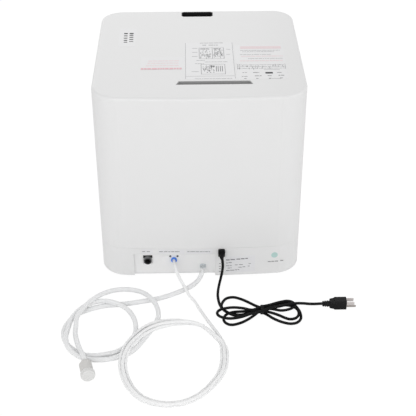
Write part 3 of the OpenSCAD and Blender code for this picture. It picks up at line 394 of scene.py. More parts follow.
# A round tube along a run, with the nodes that it stands for
def tubeAlong(name, s, run, finish, slot, *nodes):
    curve = bpy.data.curves.new(name, "CURVE")
    curve.dimensions = "3D"
    spline = curve.splines.new("POLY")
    spline.points.add(len(run) - 1)
    for point, place in zip(spline.points, run):
        point.co = (*place, 1)
    curve.bevel_depth = s["diameter"] * s["swell"] * mm / 2
    curve.bevel_resolution = 4
    curve.use_fill_caps = True
    curve.materials.append(finish.material)
    piece = linked(name, curve)
    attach(piece, "cabinet")
    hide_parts(*nodes)
    print(name, round(sum((b - a).length for a, b in zip(run, run[1:])), 3))
    return piece, run


def makeDrainHose():
    s = drainHose
    step = s["step"] * mm
    run = relaxed(smoothRun(s["drop"] + onFloor(s, s["loops"]) + s["end"], step), s["fold"] * mm)
    run = layDown(run, s["diameter"] * mm, step, pinned=0.03)
    return tubeAlong("drainHose", s, run, translucentTube("drainTubing", s), "hose", "drain_hose", "drain_coil")


def between(stops, at):     # a value read from a list of stops
    for (a, low), (b, high) in zip(stops, stops[1:]):
        if at <= b:
            return low + (high - low) * (at - a) / (b - a)
    return stops[-1][1]


def makeSupplyHose(under):
    s = supplyHose
    step, turn = s["step"] * mm, s["turn"]
    middle = Vector((sum(p[0] for p in turn), sum(p[1] for p in turn))) / len(turn)
    coil = []
    for k in range(1, s["turns"] * len(turn) - 1):
        x, y, spread = turn[k % len(turn)]
        share = between(s["layers"], k / len(turn))     # outer turn, inner turn, then the one on top
        out = (Vector((x, y)) - middle).normalized() * spread * share
        coil.append((x + out.x, y + out.y))
    run = smoothRun(s["drop"] + onFloor(s, coil), step)
    run = layDown(run, s["diameter"] * mm, step, [(under, drainHose["diameter"] * mm)])
    return tubeAlong("supplyHose", s, run, translucentTube("supplyTubing", s), "hose", "thin_hose", "thin_coil")


def makeMainsLead():
    s = mainsLead
    step = s["step"] * mm
    run = relaxed(smoothRun(s["drop"] + onFloor(s, s["hank"]) + s["end"], step), s["fold"] * mm)
    run = relaxed(layDown(run, s["diameter"] * mm, step), s["fold"] * mm, 2)
    rubber = cordRubber("leadRubber", s["colour"], 0.6, 0.14)
    return tubeAlong("mainsLead", s, run, rubber, "cord", "power_cord", "cord_hank")


drainTube, drainRun = makeDrainHose()
supplyTube, _ = makeSupplyHose(drainRun)
lead, leadRun = makeMainsLead()
print("hoses and lead laid")


bodyOf = {node: body for body, nodes in frame["record"]["behaviour"]["bodies"].items() for node in nodes}


def clearPick():            # leaves any open piece and selects nothing
    if bpy.context.object and bpy.context.object.mode == "EDIT":
        bpy.ops.object.mode_set(mode="OBJECT")
    bpy.ops.object.select_all(action="DESELECT")


def only(piece):            # this piece alone is selected and active
    clearPick()
    piece.select_set(True)
    bpy.context.view_layer.objects.active = piece


def allPicked():
    bpy.ops.mesh.select_all(action="SELECT")


def opened(piece, kind="VERT"):     # a piece open for editing, with nothing picked
    only(piece)
    bpy.ops.object.mode_set(mode="EDIT")
    bpy.ops.mesh.select_mode(type=kind)
    bpy.ops.mesh.select_all(action="DESELECT")
    return bmesh.from_edit_mesh(piece.data)


def pick(piece, kind, test=lambda item: True):      # opens a piece with what passes the test selected
    mesh = opened(piece, kind)
    for item in {"VERT": mesh.verts, "EDGE": mesh.edges, "FACE": mesh.faces}[kind]:
        if test(item):
            item.select_set(True)
    bmesh.update_edit_mesh(piece.data)


def place(thing):           # a vertex's place, or the middle of an edge or face, in millimetres
    if hasattr(thing, "co"):
        return thing.co / mm
    return sum((v.co for v in thing.verts), Vector()) / len(thing.verts) / mm


def along(edge, axis):      # whether an edge runs along one axis
    run = (edge.verts[1].co - edge.verts[0].co).normalized()
    return abs(run[axis]) > 0.999


def changed(piece, kind, **settings):       # adds a modifier and applies it
    tool = piece.modifiers.new(kind, kind)
    for setting, value in settings.items():
        setattr(tool, setting, value)
    bpy.ops.object.modifier_apply(modifier=tool.name)


def settled(name):          # names the new piece and keeps its place and size in its mesh
    piece = bpy.context.object
    piece.name = name
    bpy.ops.object.transform_apply(location=True, rotation=True, scale=True)
    return piece


def rounded(radius, segments):      # gives the picked edges a full radius
    bpy.ops.mesh.bevel(offset=radius * mm, offset_type="OFFSET", segments=segments, affect="EDGES",
                       clamp_overlap=False)


def scaled(by, centre):     # scales what is picked about a place
    bpy.ops.transform.resize(value=by, center_override=Vector(centre) * mm)


def sunk(margin, *move):    # insets the picked faces and moves what is left of them
    bpy.ops.mesh.inset(thickness=margin * mm)
    bpy.ops.mesh.extrude_region_move(TRANSFORM_OT_translate={"value": [v * mm for v in move]})


def sliced(piece, *places):         # new edges across a piece at each x
    for x in places:
        pick(piece, "FACE")
        bpy.ops.mesh.bisect(plane_co=(x * mm, 0, 0), plane_no=(1, 0, 0))


def addBox(name, low, high):
    clearPick()
    bpy.ops.mesh.primitive_cube_add(size=1, location=[(a + b) / 2 * mm for a, b in zip(low, high)])
    bpy.context.object.scale = [(b - a) * mm for a, b in zip(low, high)]
    return settled(name)


def about(middle, size):    # the low and high corner of a box about its middle
    return [m - v / 2 for m, v in zip(middle, size)], [m + v / 2 for m, v in zip(middle, size)]


# A box whose edges along one axis are rounded
def addSlab(name, low, high, radius, axis, segments=8):
    slab = addBox(name, low, high)
    pick(slab, "EDGE", lambda e: along(e, axis))
    rounded(radius, segments)
    only(slab)
    return slab


turnTo = {0: (0, math.pi / 2, 0), 1: (-math.pi / 2, 0, 0), 2: (0, 0, 0)}


def addRod(name, start, radius, length, axis):
    clearPick()
    middle = Vector(start)
    middle[axis] += length / 2
    bpy.ops.mesh.primitive_cylinder_add(vertices=40, radius=radius * mm, depth=length * mm, location=middle * mm,
                                        rotation=turnTo[axis])
    return settled(name)


def joined(name, pieces):
    clearPick()
    for piece in pieces:
        piece.select_set(True)
    bpy.context.view_layer.objects.active = pieces[0]
    bpy.ops.object.join()
    pieces[0].name = name
    return pieces[0]


def carve(piece, *cutters):
    cutter = joined("cutter", cutters)
    only(piece)
    changed(piece, "BOOLEAN", operation="DIFFERENCE", object=cutter, solver="EXACT")
    bpy.data.objects.remove(cutter)


easing = {"sharp": 32, "smooth": 42, "flat": 0.4, "merge": 0.01}     # degrees, and millimetres


# Rounds the sharp edges by a little and evens the shading
def softEdges(piece, width=0.5, segments=2, smooth=easing["smooth"]):
    only(piece)
    if width:
        changed(piece, "BEVEL", width=width * mm, segments=segments, limit_method="ANGLE",
                angle_limit=math.radians(easing["sharp"]))
    bpy.ops.object.shade_smooth_by_angle(angle=math.radians(smooth))
    changed(piece, "WEIGHTED_NORMAL", keep_sharp=True)


# Settles a finished piece: its finish, the body it rides on and the nodes that it stands for
def fit(piece, finish, slot, *nodes):
    piece.data.materials.clear()
    piece.data.materials.append(finish.material)
    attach(piece, bodyOf[nodes[0]])
    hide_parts(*nodes)
    return piece


# A copy of a node's mesh, merged, with its flat faces joined and its edges softened
def refine(node, name, width, segments=2, smooth=easing["smooth"]):
    piece = linked(name, frame["nodes"][node].data.copy())
    only(piece)
    bpy.ops.object.mode_set(mode="EDIT")
    allPicked()
    bpy.ops.mesh.remove_doubles(threshold=easing["merge"] * mm)
    bpy.ops.mesh.dissolve_limited(angle_limit=math.radians(easing["flat"]))
    bpy.ops.object.mode_set(mode="OBJECT")
    softEdges(piece, width, segments, smooth)
    return piece


def dress(node, name, finish, slot, *widths):       # a refined node with its finish
    return fit(refine(node, name, *widths), finish, slot, node)


bodyPlan = {
    "halfWidth": 215, "front": -214, "back": 208.2, "ends": 200,
    "frontRadius": 47, "backRadius": 56, "bow": 10.7, "cornerSteps": 18, "bowSteps": 24,
    "seam": 78.35, "top": 439, "crown": 6, "wall": 3,
}


def bowAt(x):               # how far back the bowed rear stands at x
    s = bodyPlan
    radius = (s["halfWidth"] ** 2 + s["bow"] ** 2) / (2 * s["bow"])
    return -s["front"] - radius + math.sqrt(radius ** 2 - x ** 2)


def bodyBlank(name, low, high):
    s = bodyPlan
    blank = addBox(name, (-s["halfWidth"], s["front"], low), (s["halfWidth"], s["back"], high))
    for radius, end in ((s["frontRadius"], -1), (s["backRadius"], 1)):
        pick(blank, "EDGE", lambda e: along(e, 2) and abs(place(e).x) > s["ends"] and place(e).y * end > s["ends"])
        rounded(radius, s["cornerSteps"])
    pick(blank, "EDGE", lambda e: along(e, 0) and place(e).y > s["back"] - 1)
    bpy.ops.mesh.subdivide(number_cuts=s["bowSteps"] - 1)
    half = s["halfWidth"] - s["backRadius"]
    for step in range(1, s["bowSteps"]):
        x = half * (2 * step / s["bowSteps"] - 1)
        pick(blank, "VERT", lambda v: place(v).y > s["back"] - 1 and abs(place(v).x - x) < 0.1)
        bpy.ops.transform.translate(value=(0, (bowAt(x) - s["back"]) * mm, 0))
    only(blank)
    return blank


hoodShell = {
    "doorRoom": ((-230, -230, 60), (230, -164, 377)),   # the door's opening
    "filler": ((0, -194, 435), (71, 28, 20)), "fillerCorner": 7,        # middle and size
    "outlet": (-30.2, 146, 143, 155, 16),               # middle x, y, front width, back width, depth
    "control": ((0, -212.5, 401), (316, 15, 40)), "controlCorner": 8,   # middle and size
    "cut": (425, 445), "edge": 0.5,
    "colour": (0.80, 0.80, 0.80), "rough": 0.38,
}


def trapezoid(name, room, low, high):
    x, y, near, far, depth = room
    bar = addBox(name, (x - near / 2, y - depth / 2, low), (x + near / 2, y + depth / 2, high))
    pick(bar, "VERT", lambda v: place(v).y > y)
    bpy.ops.transform.resize(value=(far / near, 1, 1))
    only(bar)
    return bar


def makeHood():
    s, plan = hoodShell, bodyPlan
    hood = bodyBlank("hoodShell", plan["seam"], plan["top"])
    pick(hood, "EDGE", lambda e: min(v.co.z for v in e.verts) > (plan["top"] - 0.1) * mm)
    rounded(plan["crown"], 6)
    pick(hood, "FACE", lambda f: f.normal.z < -0.9)
    bpy.ops.mesh.delete(type="FACE")
    only(hood)
    changed(hood, "SOLIDIFY", thickness=plan["wall"] * mm, offset=-1)
    carve(hood, addBox("room", *s["doorRoom"]))
    carve(hood, addSlab("mouth", *about(*s["filler"]), s["fillerCorner"], 2))
    carve(hood, trapezoid("outlet", s["outlet"], *s["cut"]))
    carve(hood, addSlab("panelRoom", *about(*s["control"]), s["controlCorner"], 1))
    softEdges(hood, s["edge"])
    return fit(hood, mouldedPlastic("hoodWhite", s["colour"], s["rough"], 0.06), "white_body", "hood")


makeHood()
print("hood made")


# A ring drawn out along an axis through (distance, radius) stops in millimetres, closed if it ends where it starts
def turned(name, start, stops, axis, sides=48):
    clearPick()
    centre = Vector(start)
    centre[axis] += stops[0][0]
    bpy.ops.mesh.primitive_circle_add(vertices=sides, radius=stops[0][1] * mm, location=centre * mm,
                                      rotation=turnTo[axis])
    form = settled(name)
    pick(form, "EDGE")
    for (a, wide), (b, wider) in zip(stops, stops[1:]):
        move = [0, 0, 0]
        move[axis] = (b - a) * mm
        bpy.ops.mesh.extrude_edges_move(TRANSFORM_OT_translate={"value": move})
        centre[axis] += b - a
        scaled((wider / wide,) * 3, centre)
    allPicked()
    bpy.ops.mesh.remove_doubles(threshold=0.001 * mm)
    allPicked()
    bpy.ops.mesh.fill_holes(sides=0)
    allPicked()
    bpy.ops.mesh.normals_make_consistent(inside=False)
    only(form)
    return form


def turnAbout(piece, start, angle):     # turned by degrees about the upright axis through a place
    only(piece)
    start = Vector(start) * mm
    turn = Matrix.Rotation(math.radians(angle), 4, "Z")
    piece.matrix_world = Matrix.Translation(start) @ turn @ Matrix.Translation(-start)
    return settled(piece.name)


shared = {
    "lead": cordRubber("gripBlack", (0.004, 0.004, 0.0045), 0.6, 0.15),
    "steel": brushedMetal("plainSteel", (0.62, 0.62, 0.63), 0.26),
    "white": mouldedPlastic("bodyWhite", (0.80, 0.80, 0.80), 0.38, 0.06),
}


plug = {
    "at": (-252, 321, 10.5), "relief": 15, "body": 35, "tall": (10.3, 11.7), "deep": 18.4, "radius": 2.4,
    "shoulder": 9, "waist": 0.88, "narrow": 0.74, "step": 1.2, "sunk": 0.5, "tip": 1.6,
    "grooves": [
        (0, 4.4), (0.8, 5.8), (2.8, 6.1), (3.1, 4.8), (4.5, 4.8), (4.8, 6.3), (7.2, 6.5), (7.5, 5.0), (8.9, 5.0),
        (9.2, 6.6), (11.8, 6.8), (12.2, 6.0), (15.4, 6.2)],
    "bladeGap": 6.35, "blade": (16.0, 1.5, 8.0), "bladeZ": 4.7, "pin": (21, 2.2), "pinZ": -7.2,
    "pinEnd": [(2, 1), (0.8, 0.86), (0, 0.45)],      # how far from the tip, share of the radius
    "metal": (0.70, 0.66, 0.65), "brass": (0.36, 0.33, 0.31), "black": (0.004, 0.004, 0.0045),
}


def makePlug():
    s = plug
    x, y, z = s["at"]
    relief = turned("plugRelief", s["at"], [(-d, r) for d, r in s["grooves"]], 0, 40)
    start, end = x - s["relief"], x - s["relief"] - s["body"]
    neck = start - s["shoulder"]
    body = addSlab("plugBody", (end, y - s["deep"] / 2, z - s["tall"][0]),
                   (start, y + s["deep"] / 2, z + s["tall"][1]), s["radius"], 0)
    sliced(body, neck, neck - s["step"])
    for near, by in ((neck, s["waist"]), (start, s["narrow"] / s["waist"])):
        pick(body, "VERT", lambda v: place(v).x > near - 0.1)
        scaled((1, by, by), (start, y, z))
    softEdges(body, 1.0, 3)
    softEdges(relief, 0.25)
    rubber = cordRubber("plugBlack", s["black"], 0.55, 0.2)
    shell = fit(joined("plugBody", [body, relief]), rubber, "plug", "plug")
    long, thin, tall = s["blade"]
    blades = []
    for side in (-1, 1):
        low = z + s["bladeZ"] - tall / 2
        blade = addBox("blade", (end - long, y + side * s["bladeGap"] - thin / 2, low),
                       (end + s["sunk"], y + side * s["bladeGap"] + thin / 2, low + tall))
        pick(blade, "EDGE", lambda e: place(e).x < end - long + 0.1 and along(e, 1))
        bpy.ops.mesh.bevel(offset=s["tip"] * mm, segments=3, affect="EDGES")
        softEdges(blade, 0.25)
        blades.append(blade)
    long, radius = s["pin"]
    stops = [(s["sunk"], radius)] + [(at - long, radius * share) for at, share in s["pinEnd"]]
    pin = turned("pin", (end, y, z + s["pinZ"]), stops, 0, 24)
    softEdges(pin, 0)
    flat = fit(joined("plugBlades", blades), brushedMetal("bladeNickel", s["metal"], 0.38), "steel", "plug")
    prong = fit(joined("plugPins", [pin]), brushedMetal("pinBrass", s["brass"], 0.42), "steel", "plug")
    return [shell, flat, prong]


tie = {"x": (-127.5, -121.5), "y": (322, 354), "near": 2, "sides": 16, "thick": 1.0, "clear": 0.25, "floor": 0.6}


# A flat band drawn round the strands that pass through it
def makeTie():
    s = tie
    low, high = s["x"]
    radius = mainsLead["diameter"] / 2 + s["clear"]
    rim = set()
    for p in leadRun:
        if low - s["near"] < p.x / mm < high + s["near"] and s["y"][0] < p.y / mm < s["y"][1]:
            for k in range(s["sides"]):
                a = k * math.tau / s["sides"]
                rim.add((p.y / mm + radius * math.cos(a), max(s["floor"], p.z / mm + radius * math.sin(a))))
    rim = sorted(rim)
    halves = []
    for points in (rim, rim[::-1]):
        half = []
        for p in points:
            while len(half) > 1 and ((half[-1][0] - half[-2][0]) * (p[1] - half[-2][1])
                                     - (half[-1][1] - half[-2][1]) * (p[0] - half[-2][0])) <= 0:
                half.pop()
            half.append(p)
        halves += half[:-1]
    clearPick()
    bpy.ops.mesh.primitive_circle_add(vertices=len(halves), radius=mm)
    band = bpy.context.object
    band.name = "cordTie"
    mesh = opened(band, "EDGE")
    for vert, (y, z) in zip(sorted(mesh.verts, key=lambda v: math.atan2(v.co.y, v.co.x)), halves):
        vert.co = Vector((low, y, z)) * mm
    bmesh.update_edit_mesh(band.data)
    allPicked()
    bpy.ops.mesh.extrude_edges_move(TRANSFORM_OT_translate={"value": ((high - low) * mm, 0, 0)})
    allPicked()
    bpy.ops.mesh.normals_make_consistent(inside=False)
    only(band)
    changed(band, "SOLIDIFY", thickness=s["thick"] * mm, offset=0, use_even_offset=True)
    softEdges(band, 0.3)
    return fit(band, shared["lead"], "cord", "cord_tie")


hoseEnd = {
    "at": (229.8, 491.5, 14), "turn": 14, "ribs": 26,
    "groove": (31, 38.6, 13.8, 0.48), "cutIn": 0.935,      # from, to, off the axis, share of a rib
    "sleeve": [
        (-3, 5.6), (-3, 6.9), (3.4, 7.2), (4, 8.4), (5.2, 11.4), (6.4, 12.5), (9, 12.5), (9.5, 12.0), (10.3, 12.0),
        (10.8, 12.5), (26.5, 12.5), (27, 12.0), (28, 12.0), (28.5, 12.5), (29.5, 12.3), (30, 11.6), (30, 10.4),
        (35.8, 10.4), (35.8, 5.4), (-3, 5.6)],
    "cap": [
        (30.4, 10.6), (30.4, 13.3), (31.2, 14), (38.4, 14), (40, 13.2), (41, 11.4), (41, 9.2), (40.6, 8.6),
        (40.6, 0.4), (36.4, 0.4), (36.4, 10.6), (30.4, 10.6)],
    "beige": (0.64, 0.63, 0.615), "pale": (0.74, 0.74, 0.73),
}


def makeHoseEnd():
    s = hoseEnd
    sleeve = turned("hoseSleeve", s["at"], s["sleeve"], 1)
    softEdges(turnAbout(sleeve, s["at"], s["turn"]), 0.3)
    fit(sleeve, mouldedPlastic("sleeveBeige", s["beige"], 0.5, 0.1), "sleeve", "hose_sleeve")
    cap = turned("hoseCap", s["at"], s["cap"], 1, s["ribs"] * 6)
    x, y, z = s["at"]
    low, high, rim, share = s["groove"]

    def inGroove(v):        # on the rim, and between two ribs
        p = place(v)
        turn = math.atan2(p.z - z, p.x - x) / math.tau * s["ribs"] + 0.01
        return y + low < p.y < y + high and math.hypot(p.x - x, p.z - z) > rim and turn % 1 < share
    pick(cap, "VERT", inGroove)
    scaled((s["cutIn"], 1, s["cutIn"]), s["at"])
    softEdges(turnAbout(cap, s["at"], s["turn"]), 0.2)
    fit(cap, mouldedPlastic("nutWhite", s["pale"], 0.42, 0.08), "nut", "hose_nut")
    return [sleeve, cap]


ports = {
    "panel": 204, "inlet": (114.5, 44.5), "thread": (8.2, 7.6, 4), "pitch": 1.7, "bore": 6.0, "long": 8, "root": -3,
    "plain": 0.6, "first": 0.9, "ridge": [(0, 0), (0.5, 0), (0.8, 1), (1.3, 1)],    # along it, on the crest or not
    # The stub's bore is painted near-black as painted shade in the hole, and its end the same near-black; the block
    # behind it is painted black above a set height and in its bore, as painted shadow in the opening above the stub
    "faceY": 210.6, "hollow": 47, "block": (9.9, 10.9, -9, -2.2),       # half width, half height, from y, to y
    "oval": (6.5, 5, -6, 4), "rim": (8.5, 7, -9, -3), "stub": (-4.5, 26), "margin": 1.1, "deep": 1.6,
    "grey": (0.17, 0.175, 0.18), "face": (0.03, 0.03, 0.032), "shade": (0.70, 0.70, 0.70),
    "black": (0.006, 0.006, 0.007), "stubGrey": (0.56, 0.61, 0.635), "blue": (0.06, 0.24, 0.86),
}


def addPort(name, at, size, *rounding):     # a rounded slab on the recessed panel
    wide, tall, near, far = size
    return addSlab(name, (at[0] - wide, ports["panel"] + near, at[1] - tall),
                   (at[0] + wide, ports["panel"] + far, at[1] + tall), *rounding)


def makePorts():
    s = ports
    x, z = s["inlet"]
    crest, root, ridges = s["thread"]
    rim = [(s["root"], s["bore"]), (s["root"], crest), (s["plain"], crest)]
    for k in range(ridges):
        rim += [(s["first"] + k * s["pitch"] + at, crest if high else root) for at, high in s["ridge"]]
    rim += [(s["long"], crest - 0.5), (s["long"], s["bore"] + 0.5), (s["long"] - 0.5, s["bore"]), rim[0]]
    collar = turned("inletThread", (x, s["panel"], z), rim, 1)
    softEdges(collar, 0.12)
    block = addPort("inletBlock", s["inlet"], s["block"], 1.5, 1)
    carve(block, addRod("bore", (x, s["panel"] - 7, z), s["bore"], 12, 1))
    softEdges(block, 0.3)
    # Painted shade: the stub's bore near-black, with its end the same, and the block's upper part and bore black for
    # the shadow in the opening round the stub
    for piece, name, axis, at, near, far in ((collar, "inletGrey", "Y", s["faceY"], s["grey"], s["face"]),
                                             (block, "inletShade", "Z", s["hollow"], s["shade"], s["black"])):
        finish = mouldedPlastic(name, near, 0.45, 0.1)
        axes = finish.axes()
        dx, dz = axes["X"] - x * mm, axes["Z"] - z * mm
        dark = (axes[axis] > at * mm).atLeast((dx * dx + dz * dz) < (s["bore"] * mm + 0.0002) ** 2)
        finish.paint(Base_Color=finish.mix(dark, near, far))
        fit(piece, finish, "port", "inlet_stub")
    dress("push_collet", "pushCollet", mouldedPlastic("colletBlue", s["blue"], 0.35, 0.05), "collet", 0.5, 3)
    oval = addPort("drainStub", s["stub"], s["oval"], 4.99, 1, 12)
    pick(oval, "FACE", lambda f: f.normal.y > 0.9)
    sunk(s["margin"], 0, -s["deep"], 0)
    softEdges(oval, 0.35)
    rim = addPort("rim", s["stub"], s["rim"], 6.99, 1, 12)
    softEdges(rim, 0.3)
    fit(joined("drainStub", [oval, rim]), mouldedPlastic("stubGrey", s["stubGrey"], 0.4, 0.08), "stub", "drain_stub")


# Generic printing: bars and broken rules that spell nothing
printing = {
    "rise": 0.06, "top": 439.2, "seed": 5, "backRise": 0.3, "spotX": -0.1455,
    # along x at y: (from x, to x, y, thickness, words or not)
    "grey": [
        (-3.6, -53, -38.6, 1.6, 1), (-9, -17, -28.4, 2.2, 0), (-22, -42, -28.2, 2.2, 1), (-1.6, -53.3, -14.9, 0.7, 0),
        (-1.6, -53.3, 37.8, 0.7, 0), (-4, -22, -9.5, 3.2, 1), (-32, -50, -9.5, 3.2, 1), (13.3, 1.6, -12.7, 1.2, 0),
        (13.4, 2, 6.8, 1.2, 0), (13.6, 2, 26.6, 1.2, 0), (-59.3, -68, -6.5, 1.2, 0), (-58.4, -66, 18.2, 1.2, 0),
        (4.5, -12.5, 45.9, 1.3, 1), (-13, -60.6, 53.2, 1.3, 1), (7.7, -10.8, 61, 1.3, 1), (-4.6, -53.4, 64.3, 0.9, 0),
        (-4.6, -53.4, 108.9, 0.9, 0), (-15.6, -18.4, 101, 2.6, 0), (-22, -24.8, 101, 2.6, 0),
        (-28.4, -31.2, 100.4, 2.6, 0), (15.2, 1, 97.5, 1.2, 0), (27.5, -71.5, 118, 0.8, 0), (9, -66, 129.4, 1.1, 1),
        (-88, -172.6, 0.4, 1.2, 1), (-92, -159.4, 6.6, 1.2, 1), (-87, -152, 20, 1.2, 1),
        (-102.8, -175.7, 39.4, 1.2, 1), (-78.6, -177.6, 69, 1.1, 1), (-78.6, -177.6, 77, 1.1, 1),
        (-78.6, -177.6, 85, 1.1, 1), (-132.6, -165.2, 91, 0.9, 0), (-139, -165, 131.6, 0.9, 0),
        (-88, -97, 103.5, 1.6, 1), (-86, -99, 121, 2, 1), (-90, -95, 130.5, 2, 0), (-109.5, -122, 104, 2.4, 1),
        (-112, -125.7, 119, 2.4, 1), (-114, -119, 130.5, 2, 0), (-138, -146, 119, 2.2, 1), (-140, -144, 130, 2, 0),
        (-158, -170, 105, 2.2, 1), (-160, -172, 117.5, 2.6, 1), (-162, -168, 129, 2, 0)],
    # along y at x: (x, from y, to y, thickness)
    "greyUp": [
        (27.2, -40, 129.6, 0.55), (-72.6, -40, 129.6, 0.55), (-1.6, -14.9, 37.8, 0.9), (-53.3, -14.9, 37.8, 0.9),
        (-29.4, -14.9, 37.8, 0.8), (-4.6, 64.3, 108.9, 0.9), (-53.4, 64.3, 108.9, 0.9), (-35.7, 72, 97.4, 1.5),
        (-39.4, 72, 97.4, 1.5), (-43.8, 72, 97.4, 1.5), (-47.9, 72, 97.4, 1.5), (-79, 64, 89, 0.6),
        (-177.4, 64, 89, 0.6)],
    "dark": [
        (160.6, 152.8, -91.4, 6.0, 0), (160.3, 152.8, -79.4, 4.4, 0), (160.2, 152.6, -67.8, 4.4, 0),
        (159.9, 152.4, -56.4, 4.4, 0), (159.6, 152.2, -47.0, 3.6, 0), (148.8, 140.2, -91.4, 5.8, 0),
        (148.6, 140.2, -82.4, 4.4, 0), (148.4, 140.0, -72.0, 4.4, 0), (148.2, 139.8, -61.2, 4.4, 0),
        (148.0, 139.6, -50.6, 3.0, 0), (-134.5, -149.6, 106, 7, 0)],
    "red": [(118.6, 35.2, 82, 7, 1)],
    "pink": [
        (104, 40.7, 46.2, 4, 1), (105.7, 40.7, 56.6, 4, 1), (109, 40.7, 68, 4, 1), (-89, -175.5, -14, 13, 0),
        (-88.8, -176.6, 28.2, 4, 1), (-85.6, -177, 49.8, 4.4, 1)],
    # boxes filled with short uneven strokes: (from x, to x, from y, to y, how many)
    "hatched": [(-3, -28, -12, 35, 46), (-31, -52, -12, 35, 60), (-7, -33, 68, 96, 58), (-80, -175, 65, 88, 30)],
    # on the back: (from x, to x, z at each end, thickness)
    "back": [
        (125.5, 105, 70.6, 70.8, 1.6), (89, 44, 71.1, 71.3, 1.6), (29, -19.6, 71.3, 70.5, 1.6),
        (-54, -101.5, 47, 49.6, 2.6), (-54.4, -66.8, 38.8, 40, 1.7), (-54.4, -66.5, 31, 32.2, 1.5),
        (-73.6, -93.3, 33, 33.7, 1.5), (-103.3, -110.5, 35.4, 35.5, 1.5), (-57.9, -66.5, 24.8, 25.6, 1.5),
        (-80.9, -96.1, 26, 27.4, 1.5), (-101.5, -107.8, 28.5, 28.7, 1.5), (-54.4, -84.9, 18, 20.1, 1.7),
        (-39, -43, 38, 37.9, 1.4), (-39, -43, 30.7, 30.5, 1.4), (-39, -43, 24.4, 24.3, 1.4),
        (-39, -43, 16.4, 16.3, 1.4), (-145, -180.5, 37.9, 38.5, 1.9)],
    "spot": (0.47, 0.66, 0.63), "film": (0.795, 0.795, 0.80), "plate": (0.775, 0.775, 0.79),
    "shades": {"grey": (0.24, 0.24, 0.25), "dark": (0.04, 0.04, 0.045), "red": (0.82, 0.53, 0.57),
               "pink": (0.83, 0.71, 0.725)},
}


def backAt(x):              # how far back the body stands at x, round its corners too
    radius = bodyPlan["backRadius"]
    half = bodyPlan["halfWidth"] - radius
    if abs(x) < half:
        return bowAt(x)
    return bowAt(half) - radius + math.sqrt(radius ** 2 - (abs(x) - half) ** 2)


def words(dice, start, end):        # a rule broken into pieces of uneven length
    spans, at, way = [], start, math.copysign(1, end - start)
    while (end - at) * way > 1.5:
        long = min(dice.uniform(3, 11), abs(end - at))
        spans.append((at, at + way * long))
        at += way * (long + 1.2)
    return spans


def addMark(centre, size, turn=(0, 0, 0)):      # a thin bar in the open piece
    bpy.ops.mesh.primitive_plane_add(size=mm, location=Vector(centre) * mm, rotation=turn)
    scaled(size, centre)


def topMark(a, b, c, d):    # a bar on the top from x = a to b and y = c to d
    addMark(((a + b) / 2, (c + d) / 2, printing["top"] + printing["rise"]), (abs(b - a), abs(d - c), 1))


def startMarks(name):
    clearPick()
    bpy.ops.mesh.primitive_plane_add(size=mm)
    marks = bpy.context.object
    marks.name = name
    opened(marks)
    allPicked()
    bpy.ops.mesh.delete(type="VERT")
    return marks


def printInk(name, colour):
    ink = Finish(name, Roughness=0.55, Specular_IOR_Level=0.2)
    ink.paint(Base_Color=ink.shade(ink.noise(900, 3), colour, 0.85, 1.2))
    return ink


def printed(marks, ink, node):      # closes the marks and settles them
    fit(marks, ink, "label", node)
    only(marks)


def hatch(dice, s):         # short uneven strokes in boxes, then the broken rules on the bowed back
    for a, b, low, high, count in s["hatched"]:
        for _ in range(count):
            x, y = dice.uniform(b + 1, a - 1), dice.uniform(low, high - 4)
            topMark(x - 0.4, x + 0.4, y, y + dice.uniform(3, 9))
    for a, b, low, high, thick in s["back"]:
        for start, end in words(dice, a, b):
            x = (start + end) / 2
            slope = math.atan((backAt(x + 1) - backAt(x - 1)) / 2)
            addMark((x, backAt(x) + s["backRise"], low + (high - low) * (x - a) / (b - a)),
                    (abs(end - start), 1, thick), (-math.pi / 2, 0, slope))


def makeLabels():
    s = printing
    dice = random.Random(s["seed"])
    film = Finish("labelFilm", Specular_IOR_Level=0.4)
    cloud, axes = film.noise(9), film.axes()
    behind = axes["Y"] > 0.15
    base = film.mix(behind, film.shade(cloud, s["film"], 1, 1.03), film.shade(cloud, s["plate"], 1, 1.03))
    film.paint(Base_Color=film.mix((axes["X"] < s["spotX"]) * behind, base, s["spot"]),
               Roughness=0.3 + (cloud - 0.5) * 0.1)
    dress("labels", "labelFilms", film, "label", 0)
    for shade, colour in s["shades"].items():
        marks = startMarks(shade + "Print")
        for a, b, y, thick, broken in s[shade]:
            for start, end in words(dice, a, b) if broken else [(a, b)]:
                topMark(start, end, y - thick / 2, y + thick / 2)
        if shade == "grey":
            for x, a, b, thick in s["greyUp"]:
                topMark(x - thick / 2, x + thick / 2, a, b)
            hatch(dice, s)
        printed(marks, printInk(shade + "Ink", colour), "labels")


plugPieces = makePlug()
hoseFittings = makeHoseEnd()
plugPieces + [makeTie()]
makePorts()
makeLabels()
print("rear fittings and labels made")


controls = {
    "front": -214, "display": ((0, -213.65, 401), (69.4, 0.5, 19.4)), "displayCorner": 3,     # middle and size
    "keys": {"power": -128, "program": -96, "dry": 96, "start": 128},
    "iconZ": 413.4, "ink": (0.62, 0.64, 0.66), "glow": (0.55, 0.80, 0.95), "lit": 0.35,
    # inside the display: (from x, to x, z, thickness)
    "display marks": [
        (-27, -15, 404.6, 1.1), (-27, -15, 398.6, 1.1), (-11, -9.4, 405.4, 1.6), (-11, -9.4, 401, 1.6),
        (-11, -9.4, 396.6, 1.6), (-5, 3, 401, 1.1), (9, 13, 405.6, 1.3), (9, 17, 401, 1.3), (9, 21, 396.4, 1.3)],
    "above keys": [(-3.2, 3.2, 0, 0.9), (-2, 2, 1.7, 0.7)], "shrink": 0.18,
}


def frontMark(a, b, z, thick, y):   # a thin bar that faces the front
    addMark(((a + b) / 2, y, z), (b - a, 1, thick), (math.pi / 2, 0, 0))


